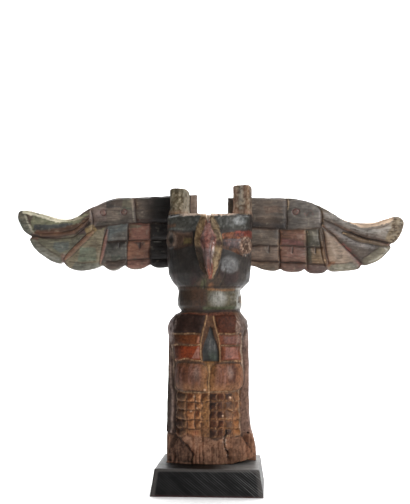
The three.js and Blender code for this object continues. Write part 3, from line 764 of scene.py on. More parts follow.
# Paint under the beak: outline, colour, softness and strength
CHIN_PAINT = [
    ([(-5.6, 70.4), (-2.4, 75.4), (1.0, 76.0), (4.6, 75.6), (7.2, 70.4)],
     (0.062, 0.04, 0.026), 1.4, 0.85),
    ([(-3.2, 70), (-2.0, 74), (-0.6, 74), (-0.8, 70)], (0.075, 0.078, 0.034), 0.9, 0.8),
    ([(-0.2, 70), (0.4, 72.4), (1.8, 72.4), (2.4, 70)], (0.17, 0.075, 0.032), 0.9, 0.7),
]
CHIN_GROOVES = [
    [(5.2, 80), (4.2, 76.4), (2.0, 73.2)], [(-3.0, 76.4), (-1.4, 72.4), (-1.6, 70)],
    [(7.4, 78), (6.4, 74.2), (4.6, 71.2)], [(-5.8, 71), (-3.6, 74)],
]


def carve_chin(coat, x, h, y):
    front = ramp(-y, 6.5, 8)
    for patch in CHIN_PAINT:
        paint_area(coat, x, h, *patch)
    for path in CHIN_GROOVES:
        near = distance_to_path(x, h, curved(path, 5))
        coat.raise_by(bell(near, 0.35) * front, -0.25)
        coat.brush(ramp(0.5 - near, 0, 0.3) * front * 0.6, (0.03, 0.024, 0.014))


def carve_beak(coat, x, h, y, mottle):
    heights = np.clip(h, BEAK[0, 0], BEAK[-1, 0])
    shift, flank, flank_depth, ridge, ridge_depth = beak_values(heights)
    inside = ramp(h, 73.5, 74.5) * ramp(99.5 - h, 0, 0.6)
    across = x - shift
    on_flank = inside * ramp(flank + 0.3 - abs(across), 0, 0.4) * ramp(-y, 8.5, 9.5)
    coat.brush(on_flank, (0.195, 0.132, 0.077), 0.45)
    coat.tone(on_flank * ramp(-across, -0.5, 0.5) * ramp(h, 85, 88), (1.45, 1.42, 1.3))
    coat.tone(on_flank * ramp(across, -0.5, 0.5) * ramp(h, 86, 89), (0.72, 0.75, 0.75))
    coat.brush(on_flank * ramp(mottle, 0.0, 0.6) * 0.5, (0.25, 0.19, 0.11))
    coat.tone(on_flank * ramp(-mottle, 0.0, 0.6), (0.5, 0.45, 0.42))
    shadow = on_flank * ramp(87.6 - h, 0, 1.5) * ramp(-across, -0.4, 0.5)
    coat.brush(shadow * 0.85, (0.03, 0.018, 0.011))
    rim = bell(abs(across) - flank + 0.35, 0.3) * on_flank * ramp(h, 86, 88)
    coat.brush(rim * 0.5, (0.27, 0.2, 0.12))
    right_strip = bell(across - flank * 0.72, 0.5) * on_flank * ramp(86.5 - h, 0, 1)
    coat.brush(right_strip * 0.7, (0.32, 0.24, 0.15))
    nostril = spot((x - 4.6) / 1.7, (h - 87.9) / 1.2, 1.2, 0.6) * on_flank
    coat.brush(nostril * 0.9, (0.04, 0.022, 0.018))
    on_ridge = inside * ramp(ridge * 1.2 + 0.15 - abs(across), 0, 0.4)
    on_ridge *= ramp(-y, flank_depth - 0.1, flank_depth + 0.8)
    coat.brush(on_ridge, (0.2, 0.078, 0.062), 0.7)
    coat.brush(on_ridge * ramp(mottle, 0.0, 0.6) * 0.6, (0.34, 0.19, 0.165))
    coat.tone(on_ridge * ramp(-mottle, 0.1, 0.6), (0.45, 0.38, 0.38))
    # Painted highlight: a grey gloss band across the middle of the ridge.
    middle = on_ridge * belt(h - 83.4, 2.6, 1.5)
    coat.brush(middle * 0.75, (0.15, 0.105, 0.105), 0.9)
    coat.brush(on_ridge * ramp(80.2 - h, 0, 2), (0.215, 0.06, 0.03))
    # Painted highlight: a pale gloss stroke down the ridge's right side.
    gleam = distance_to_path(x, h, [(2.7, 87.9), (2.4, 84.3), (2.0, 80.0)])
    gleam = bell(gleam, 0.22) * ramp(mottle, -0.4, 0.1)
    coat.brush(gleam * inside * 0.9, (0.62, 0.56, 0.53))
    line = bell(abs(across) - ridge * 1.35, 0.25) * on_flank
    coat.raise_by(line, -0.08)


def carve_collar(coat, x, h, points, mottle):
    collar = ramp(h, 61.2, 61.8) * ramp(70.4 - h, 0, 0.6)
    right = ramp(x + 0.8 * noise(points, 3, 39), -1.5, 1.5)
    coat.brush(collar, (0.038, 0.023, 0.014), 0.6)
    coat.brush(collar * belt(x + 3.5, 4.5, 2) * 0.7, (0.052, 0.025, 0.014))
    coat.brush(collar * right, (0.082, 0.07, 0.043), 0.5)
    coat.brush(collar * right * ramp(mottle, 0, 0.6) * 0.45, (0.08, 0.07, 0.044))
    # Painted highlights: a pale glare patch on the collar, and pale glints near and at its right end.
    shine = spot((x - 4.0) / 1.2, (h - 66) / 1.25, 3.8, 3.0) * collar
    coat.brush(shine * 0.68, (0.33, 0.335, 0.31), 0.8)
    edge_shine = belt(x - 9.6, 1.2, 0.8) * ramp(mottle, -0.3, 0.3) * collar
    coat.brush(edge_shine * 0.3, (0.18, 0.175, 0.15), 0.7)
    end_shine = ramp(x, 9.9, 11.9) * ramp(mottle, -0.8, 0.1) * collar
    coat.brush(end_shine * 0.75, (0.4, 0.4, 0.37), 0.7)
    green = [(-2, 61.5), (11, 61.5), (11, 62.9), (-2, 62.9)]
    paint_area(coat, x, h, green, (0.06, 0.072, 0.036), 0.9, 0.8)
    paint_line(coat, x, h, [(0.1, 69.7), (10.4, 69.4)], (0.23, 0.105, 0.04), 0.4, 0.85)
    chip = inside_by(x, h, [(12.0, 64.2), (15, 63.4), (15, 67.4), (12.4, 67.0)])
    chip = ramp(chip, -0.2, 0.4)
    coat.raise_by(chip, -0.9)
    coat.brush(chip, (0.26, 0.225, 0.19), 0.2)
    seam = bell(h - 70.6, 0.4) + bell(h - 60.9, 0.4)
    coat.raise_by(seam, -0.3)
    coat.brush(np.clip(seam, 0, 1) * 0.6, (0.022, 0.015, 0.012))


TORN_LEFT = [(-19, 12.4), (-12.8, 11.4), (-9.3, 8.8), (-7.8, 7.0), (-6.0, 4.3), (-6.6, -1), (-19, -1)]
FISSURE = [(7.0, 13.7), (6.7, 10.1), (6.7, 7.1), (7.3, 5.3), (8.0, 2.6)]


def carve_foot(coat, x, h, points, mottle):
    """The torn, uncarved end of the log with its open grain."""
    foot = ramp(11.8 - h + 1.4 * noise(points, (3, 3, 2), 51), 0, 2.0)
    fibres = noise(points, (0.7, 2.0, 10), 52, 3)
    broken = noise(points, (2.4, 3.0, 3.2), 54, 3)
    coat.raise_by(foot * ramp(12 - h, 0, 10), 0.2 * fibres)
    coat.raise_by(foot, 0.45 * broken)
    left = ramp(inside_by(x + 0.4 * broken, h, TORN_LEFT), -0.1, 0.4)
    coat.raise_by(left, -0.9)
    split = distance_to_path(x + 0.5 * broken, h, FISSURE)
    coat.raise_by(ramp(0.4 - split, 0, 0.4), -0.7)
    coat.brush(foot * 0.95, (0.275, 0.15, 0.098), 0.3)
    coat.brush(foot * ramp(x, 5, 9), (0.18, 0.09, 0.055))
    coat.brush(left * 0.85, (0.135, 0.078, 0.056))
    coat.brush(foot * ramp(fibres, 0.1, 0.7) * 0.4, (0.27, 0.155, 0.105))
    coat.tone(foot * ramp(-fibres, 0.1, 0.8), (0.5, 0.42, 0.38))
    crevice = distance_to_path(x + 0.3 * broken, h, TORN_LEFT[1:6])
    # Painted shade along the torn edge's crevice.
    coat.tone(ramp(0.8 - crevice, 0, 0.7) * ramp(x, -12, -10.5), (0.22, 0.16, 0.15))
    # Painted shade inside the split.
    coat.tone(ramp(0.5 - split, 0, 0.4) * ramp(mottle, -0.7, 0), (0.25, 0.2, 0.18))
    # Painted highlight: a pale glint along the split's edge.
    glint = ramp(1.0 - split, 0, 0.4) * ramp(mottle, 0.1, 0.3)
    coat.brush(glint * ramp(11.6 - h, 0, 1.4) * 0.8, (0.5, 0.37, 0.3))
    hole = spot(x - 15.8, h - 12.1, 0.55, 0.3)
    coat.raise_by(hole, -0.8)
    coat.brush(hole, (0.006, 0.005, 0.004))


# Streaks on the right stub: where they run, their half width and colour
STUB_STREAKS = [
    (10.2, 0.9, (0.56, 0.38, 0.3)), (11.6, 0.5, (0.22, 0.15, 0.115)),
    (13.2, 0.9, (0.25, 0.235, 0.205)), (14.6, 0.4, (0.12, 0.066, 0.046)),
    (16.0, 0.7, (0.27, 0.185, 0.125)),
]


def paint_stubs(coat, points, mottle):
    x, h = points[:, 0], points[:, 2]
    stub = ramp(h, 100.1, 100.6)
    streak = noise(points, (0.8, 0.8, 4), 57, 3)
    coat.brush(stub, (0.14, 0.12, 0.08), 0.3)
    coat.tone(stub * ramp(-streak, 0.0, 0.5), (0.58, 0.54, 0.5))
    # Painted light: the left stub's right side is painted lighter.
    lit = ramp(x + 0.8 * streak, -11.2, -10.0) * (x < 0)
    coat.brush(stub * lit * 0.8, (0.26, 0.24, 0.19))
    coat.brush(stub * (x > 0), (0.14, 0.1, 0.072))
    for place, half, colour in STUB_STREAKS:
        run = bell(x + 0.3 * streak - place, half)
        coat.brush(stub * run * (0.65 + 0.4 * streak), colour)
    coat.brush(stub * ramp(mottle, 0.15, 0.5) * 0.6, (0.38, 0.32, 0.24))
    coat.tone(stub * ramp(-mottle, 0.15, 0.6), (0.6, 0.52, 0.46))
    coat.brush(stub * ramp(102.6 - h, 0, 2) * 0.4, (0.3, 0.18, 0.13))
    return stub


def dress_pole(points, normals):
    """Lift, in units, and coat over the points of the log, which are in units."""
    wobble = 0.2
    x = points[:, 0] + wobble * noise(points, 3.0, 11)
    h = points[:, 2] + wobble * noise(points, 3.0, 12)
    y = points[:, 1]
    mottle = noise(points, 0.9, 13, 3)
    coat = Coat(len(points), (0.09, 0.05, 0.034), 0.5)
    carve_collar(coat, x, h, points, mottle)
    carve_chest(coat, x, h, mottle)
    carve_sides(coat, x, h, points)
    carve_thighs(coat, x, h, points)
    carve_scales(coat, x, h, points, mottle)
    carve_edges(coat, x, h, mottle)
    carve_foot(coat, x, h, points, mottle)
    carve_head(coat, x, h, y, points, mottle)
    carve_beak(coat, x, h, y, mottle)
    ahead = ramp(-y, -1.0, 0.5)
    coat.lift *= ahead
    fine = noise(points, 0.55, 16, 2)
    coat.tone(ramp(fine, 0.1, 0.8), (1.35, 1.33, 1.3))
    coat.tone(ramp(-fine, 0.1, 0.8), (0.62, 0.58, 0.56))
    warm = ramp(60.5 - h, 0, 1) * ramp(h, 10.5, 13) * belt(x, 13.4, 1.6)
    coat.tone(warm, (1.0, 0.9, 0.79))
    top = ramp(points[:, 2], 99.6, 100.0) * ramp(normals[:, 2], 0.4, 0.8)
    coat.brush(top, RAW_WOOD, 0.2)
    notch = belt(points[:, 0] - 0.1, 1.6, 0.2) * ramp(points[:, 2], 95.6, 96)
    coat.brush(notch * ramp(abs(normals[:, 0]), 0.4, 0.7), (0.75, 0.6, 0.46), 0.2)
    stub = paint_stubs(coat, points, mottle)
    back = ramp(y, BACK - 1.6, BACK - 0.6) * (1 - stub)
    coat.brush(back, OLD_WOOD, 0.2)
    rough_wood(coat, points, (1.0, 1.0, 7.0), 61, back + 0.7 * stub)
    head_or_collar = ramp(h, 60, 62) * (1 - stub)
    chest = ramp(h, 40.4, 41.4) * ramp(60.5 - h, 0, 1)
    thighs = ramp(h, 29.6, 30.4) * ramp(41.4 - h, 0, 1)
    dark_side = ramp(-x, 14.4, 15.2) * ramp(44 - h, 0, 6) * ramp(h, 11, 13)
    coat.edge = 0.75 - 0.5 * head_or_collar - 0.4 * chest - 0.45 * thighs
    coat.edge = coat.edge * (1 - 0.85 * dark_side) * (0.65 + 0.6 * mottle)
    return coat


def rough_wood(coat, points, stretch, seed, weathered):
    """Knife facets, open grain and small checks, in the units of points."""
    stretch = np.array(stretch)
    facets = noise(points, stretch**0.4 * 2.2, seed)
    coat.raise_by(facets, 0.085)
    coat.raise_by(noise(points, stretch**0.5 * 0.9, seed + 1), 0.045)
    grain = noise(points, stretch * 0.42, seed + 2)
    coat.raise_by((0.3 + weathered) * grain, 0.05)
    check = np.abs(noise(points, stretch * 1.6, seed + 3, 2))
    coat.raise_by(ramp(0.06 - check, 0, 0.06) * (0.25 + weathered), -0.12)


def add_wear(made, coat, edge_size):
    """Bare wood on edges, and grime with painted shade in hollows, from the finished mesh."""
    standing = ridge_and_groove(made.data, rounds=3) / edge_size
    standing = neighbour_mean(made.data, neighbour_mean(made.data, standing))
    coat.bare = np.clip(coat.bare + ramp(standing, 0.3, 1.3) * coat.edge, 0, 1)
    # Grime and painted shade: darker in the hollows of the mesh.
    coat.grime_and_shade = np.clip(coat.grime_and_shade + ramp(-standing, 0.15, 1.0), 0, 1)


def smoothed(made, rounds):
    """Takes the steps out of a remeshed surface while it keeps its size."""
    points = read_points(made.data)
    for share in (0.5, -0.52) * rounds:
        points += share * (neighbour_mean(made.data, points) - points)
    move_points(made, points)


def move_points(made, points):
    made.data.vertices.foreach_set("co", points.astype(np.float32).ravel())
    made.data.update()


# How far an edge stands out of its surroundings, in metres, where it is worn bare
POLE_EDGE = 0.00028
WING_EDGE = 0.00022
PLINTH_EDGE = 0.0002

# The broken edge of the log's foot, which stands clear of the plinth at its right front
BROKEN_FOOT = [(6, -1), (19.5, -1), (19.5, 2.8), (15.4, 2.0), (12.2, 1.1), (6, 0)]


def broken_foot_mesh():
    rings = [[(x, y, height) for x, height in BROKEN_FOOT] for y in (3.5, -20.0)]
    return lofted("broken_foot", rings)


def build_pole():
    pole = log_mesh()
    combine(pole, beak_mesh(), "UNION")
    for stub in STUBS:
        combine(pole, stub_mesh(**stub), "UNION")
    combine(pole, notch_mesh(), "DIFFERENCE")
    combine(pole, broken_foot_mesh(), "DIFFERENCE")
    points, normals = read_points(pole.data), read_normals(pole.data)
    coat = dress_pole(points, normals)
    foot = ramp(points[:, 2], 0.0, 0.5)
    points += normals * (coat.lift * foot)[:, None]
    points[:, 2] = np.clip(points[:, 2], 0, None)
    points[:, 1] = np.clip(points[:, 1], None, BACK)
    metres = points * UNIT
    metres[:, 2] += POLE_BOTTOM
    move_points(pole, metres)
    add_wear(pole, coat, POLE_EDGE)
    coat.write(pole.data)
    return pole


# Wings, in hundredths of a wing's length: along it from its inner end, and up from the top
# corner of that end. Areas of paint follow the carving and may overlap. A rib and a line of
# paint have a path, a colour and perhaps a half width of their own in metres. The bevel has the
# crease that it falls away from, its depth and its colour, and a hollow a path, reach and depth.

LEFT_WING = {
    "name": "left_plank_wing", "node": "left_wing", "direction": -1,
    "end": (0.23, 0.17, 0.135), "tip_specks": 0.4,
    "leading_edge": [
        (0, 0), (33, -1.3), (47, -2.1), (59.4, -7.2), (68, -12.2), (74, -13.2), (83, -11),
        (97, -7.9), (100, -11.6), (97, -18.4), (93.7, -21.8)],
    "feathers": [
        [(92, -22.6), (93, -24.8), (88.6, -30.9), (81.6, -36), (76.6, -37.8), (74.6, -36.8)],
        [(74.4, -36.8), (70.5, -40.2), (65, -41.7), (57, -40.6), (52.5, -38.7)],
        [(52.3, -38.7), (48.4, -41.4), (44.6, -41.4), (40.2, -38.7)],
        [(40, -38.7), (36.3, -40.7), (31.6, -40.7), (25.9, -38.2)],
        [(25.7, -38.2), (22, -40.1), (15, -39.6), (0, -38.6)]],
    "furrows": [
        [(34.5, -2), (33.5, -15)],
        [(0, -15.4), (34, -15.2), (47, -16.2), (57.5, -17.6)],
        [(0, -24.9), (34, -24.9), (49.5, -26)],
        [(0, -35.4), (34, -35.4), (50, -36.8)],
        [(25.9, -15.4), (25.9, -38.2)],
        [(38, -15.4), (38.6, -38)],
        [(59, -8), (57.6, -13), (58, -18.5)],
        [(59.8, -15.2), (63.2, -18.9), (67.4, -21.9), (70.8, -23.3), (78.9, -23.8), (87.6, -22.9),
         (93.2, -22.3)]],
    "creases": [
        [(94.7, -10.9), (93.2, -14.4), (90.6, -18.6)],
        [(87.6, -26.2), (82, -30.4), (76.4, -33.6)],
        [(56, -36.8), (63, -37.5), (70.6, -36.8)]],
    "ribs": [
        ([(49.3, -19.4), (53.2, -38)], (0.21, 0.098, 0.078)),
        ([(60, -13.3), (63.1, -16.7), (68.4, -20.2), (75.4, -21.6), (84.1, -21.9), (91, -20.9)],
         (0.12, 0.066, 0.042)),
        ([(57.5, -20.2), (63.6, -26), (73, -35.6)], (0.19, 0.096, 0.062), 0.0044)],
    "rings": [(51.7, -9.6), (40.3, -9.1)],
    "bevel": ([(64, -12.4), (70, -14.4), (76, -15.1), (82, -13.7), (88, -12.0), (93, -10.9),
               (97.2, -9.6)], 0.0032, (0.72, 0.69, 0.54)),
    "inner_shade": (33, 21, (0.1, 0.085, 0.085)),
    "hollows": [([(90, -17.5), (75, -18.2), (63, -13.5)], 0.01, 0.0014)],
    "ticks": [[(31.3, -26.2), (31.3, -28.8)], [(42.8, -26.8), (42.7, -28.8)]],
    "ground": (0.09, 0.068, 0.055),
    "paint": [
        ([(0, 2), (34.5, 2), (33.5, -15.2), (0, -15.4)], (0.09, 0.072, 0.06)),
        ([(4, -13.4), (33.6, -13.2), (33.6, -15.4), (4, -15.4)], (0.064, 0.03, 0.022)),
        ([(34.5, 2), (62, 2), (57.6, -17), (33.5, -15.2)], (0.118, 0.096, 0.08)),
        ([(38, 1), (58, -3), (59, -8.4), (50, -7.2), (37, -6.4)], (0.058, 0.053, 0.051)),
        ([(50, -2), (60, -7), (57.6, -17), (50, -16)], (0.17, 0.132, 0.118)),
        ([(38, -13.2), (54, -14.2), (56, -16.8), (37, -15.2)], (0.068, 0.058, 0.048)),
        ([(36, -2), (41, -2), (41, -8), (36, -8)], (0.105, 0.112, 0.086)),
        ([(0, -15.4), (25.9, -15.4), (25.9, -44), (0, -44)], (0.018, 0.015, 0.014)),
        ([(25.9, -15.4), (38, -15.4), (38.5, -25), (25.9, -25)], (0.185, 0.088, 0.066)),
        ([(30, -16.0), (37.4, -16.0), (37.2, -18.6), (31, -17.8)], (0.11, 0.086, 0.06)),
        ([(25.9, -25), (38.2, -25), (38.5, -35.6), (25.9, -35.6)], (0.215, 0.106, 0.07)),
        ([(28.6, -25.6), (36.2, -25.6), (33.0, -27.0), (31.4, -30.2)], (0.085, 0.04, 0.03)),
        ([(38, -15.6), (49, -16.6), (50.6, -25.6), (38.3, -25.2)], (0.118, 0.134, 0.134)),
        ([(38.3, -25.2), (50.6, -25.6), (53, -37.5), (38.4, -36)], (0.076, 0.074, 0.066)),
        ([(39.6, -25.6), (42.4, -29.6), (44.2, -27.4), (46.4, -30), (49.4, -25.8)], (0.04, 0.037, 0.033)),
        ([(42, -33), (47, -33), (47, -36), (42, -36)], (0.075, 0.086, 0.07)),
        ([(25.9, -35.6), (38.4, -35.8), (39, -43), (25.9, -43)], (0.235, 0.122, 0.098)),
        ([(38.4, -36.2), (52, -37.4), (53, -44), (39, -43)], (0.076, 0.06, 0.052)),
        ([(59, -9), (68, -13), (80, -14), (91, -10), (94, -20.6), (80, -20.5), (69, -18.5)],
         (0.185, 0.188, 0.122)),
        ([(91, -16.3), (83.6, -15.9), (75.9, -15.6), (69, -15.4), (70, -18.5), (83.6, -19.6),
          (90.2, -19.4)], (0.052, 0.056, 0.056)),
        ([(89, -19.0), (83.6, -18.8), (74, -17.6), (66, -15.2), (60, -11.8), (59.5, -15), (66, -21),
          (71, -23.2), (80, -23.6), (91, -22)], (0.078, 0.046, 0.031)),
        ([(58, -15.4), (68, -21.6), (78, -24.2), (93, -22.8), (92, -34), (74, -38), (72, -35)],
         (0.122, 0.118, 0.086)),
        ([(70.6, -25.6), (79, -26), (80, -29), (75.8, -32), (71, -30)], (0.086, 0.096, 0.088)),
        ([(93.4, -22.8), (88, -23.2), (88.4, -25.6), (92, -26)], (0.15, 0.098, 0.075)),
        ([(75, -32.6), (70.4, -33), (70, -38.6), (75, -37.6)], (0.13, 0.085, 0.068)),
        ([(59, -16.6), (64, -18.4), (66, -22), (60.6, -21)], (0.12, 0.092, 0.09)),
        ([(88.6, -25), (93.4, -23.4), (92, -34), (74, -40), (75.8, -34.6), (81.8, -30.6)],
         (0.155, 0.155, 0.128)),
        ([(51, -18), (57.5, -19.6), (73, -36), (70, -43), (52.8, -40)], (0.215, 0.186, 0.128)),
        ([(64.3, -28.6), (55.6, -29), (55.5, -36.4), (66, -36.4)], (0.175, 0.2, 0.148)),
        ([(67.7, -36.8), (60.8, -37.6), (53.1, -37.4), (53, -43), (70, -43)], (0.165, 0.165, 0.135)),
        ([(61.9, -18.6), (57.8, -15.6), (55.4, -19.2), (58.1, -22.7), (60.9, -22.8)], (0.33, 0.24, 0.12)),
        ([(95.8, -8), (93.4, -16), (90.8, -20.4), (94, -24), (102, -16), (101, -6)],
         (0.105, 0.108, 0.09))],
    "lines": [
        ([(35.6, -2.2), (34.9, -14.4)], (0.33, 0.3, 0.235)),
        ([(59.2, -7.4), (59.1, -14)], (0.33, 0.27, 0.23)),
        ([(95.9, -10.4), (94.8, -13.6), (92.6, -17.6), (90.6, -20.6)], (0.4, 0.38, 0.3), 0.0016),
        ([(89, -20.2), (82, -20.6), (75, -20.4)], (0.21, 0.105, 0.068), 0.0014),
        ([(72.2, -13.8), (67, -13.2), (63.4, -12.2)], (0.42, 0.35, 0.25), 0.0013),
        ([(64.6, -17.0), (61.6, -13.2)], (0.23, 0.13, 0.06), 0.0018),
        ([(96.8, -22.0), (93.7, -22.3), (89.6, -22.6)], (0.02, 0.012, 0.008), 0.0016),
        ([(76, -35.6), (82, -33.8), (88.6, -29.4)], (0.3, 0.3, 0.26), 0.0018),
        ([(51.2, -8.0), (51.0, -10.8)], (0.23, 0.08, 0.062), 0.0009),
        ([(39.8, -7.8), (40.8, -9.2), (39.8, -10.4)], (0.23, 0.09, 0.07), 0.0009),
        ([(29.8, -16.4), (33.2, -15.9), (25.8, -15)], (0.17, 0.06, 0.048)),
        ([(20, -26.0), (23.5, -26.0)], (0.26, 0.26, 0.245), 0.0008),
        ([(38.8, -26.4), (38.9, -35)], (0.2, 0.195, 0.165)),
        ([(26.5, -39.2), (31, -41), (36.5, -40.8), (39, -39.6)], (0.25, 0.235, 0.205), 0.0013),
        ([(41, -39.6), (45, -41.2), (49, -41), (51.6, -39.6)], (0.27, 0.255, 0.225), 0.0014)],
}

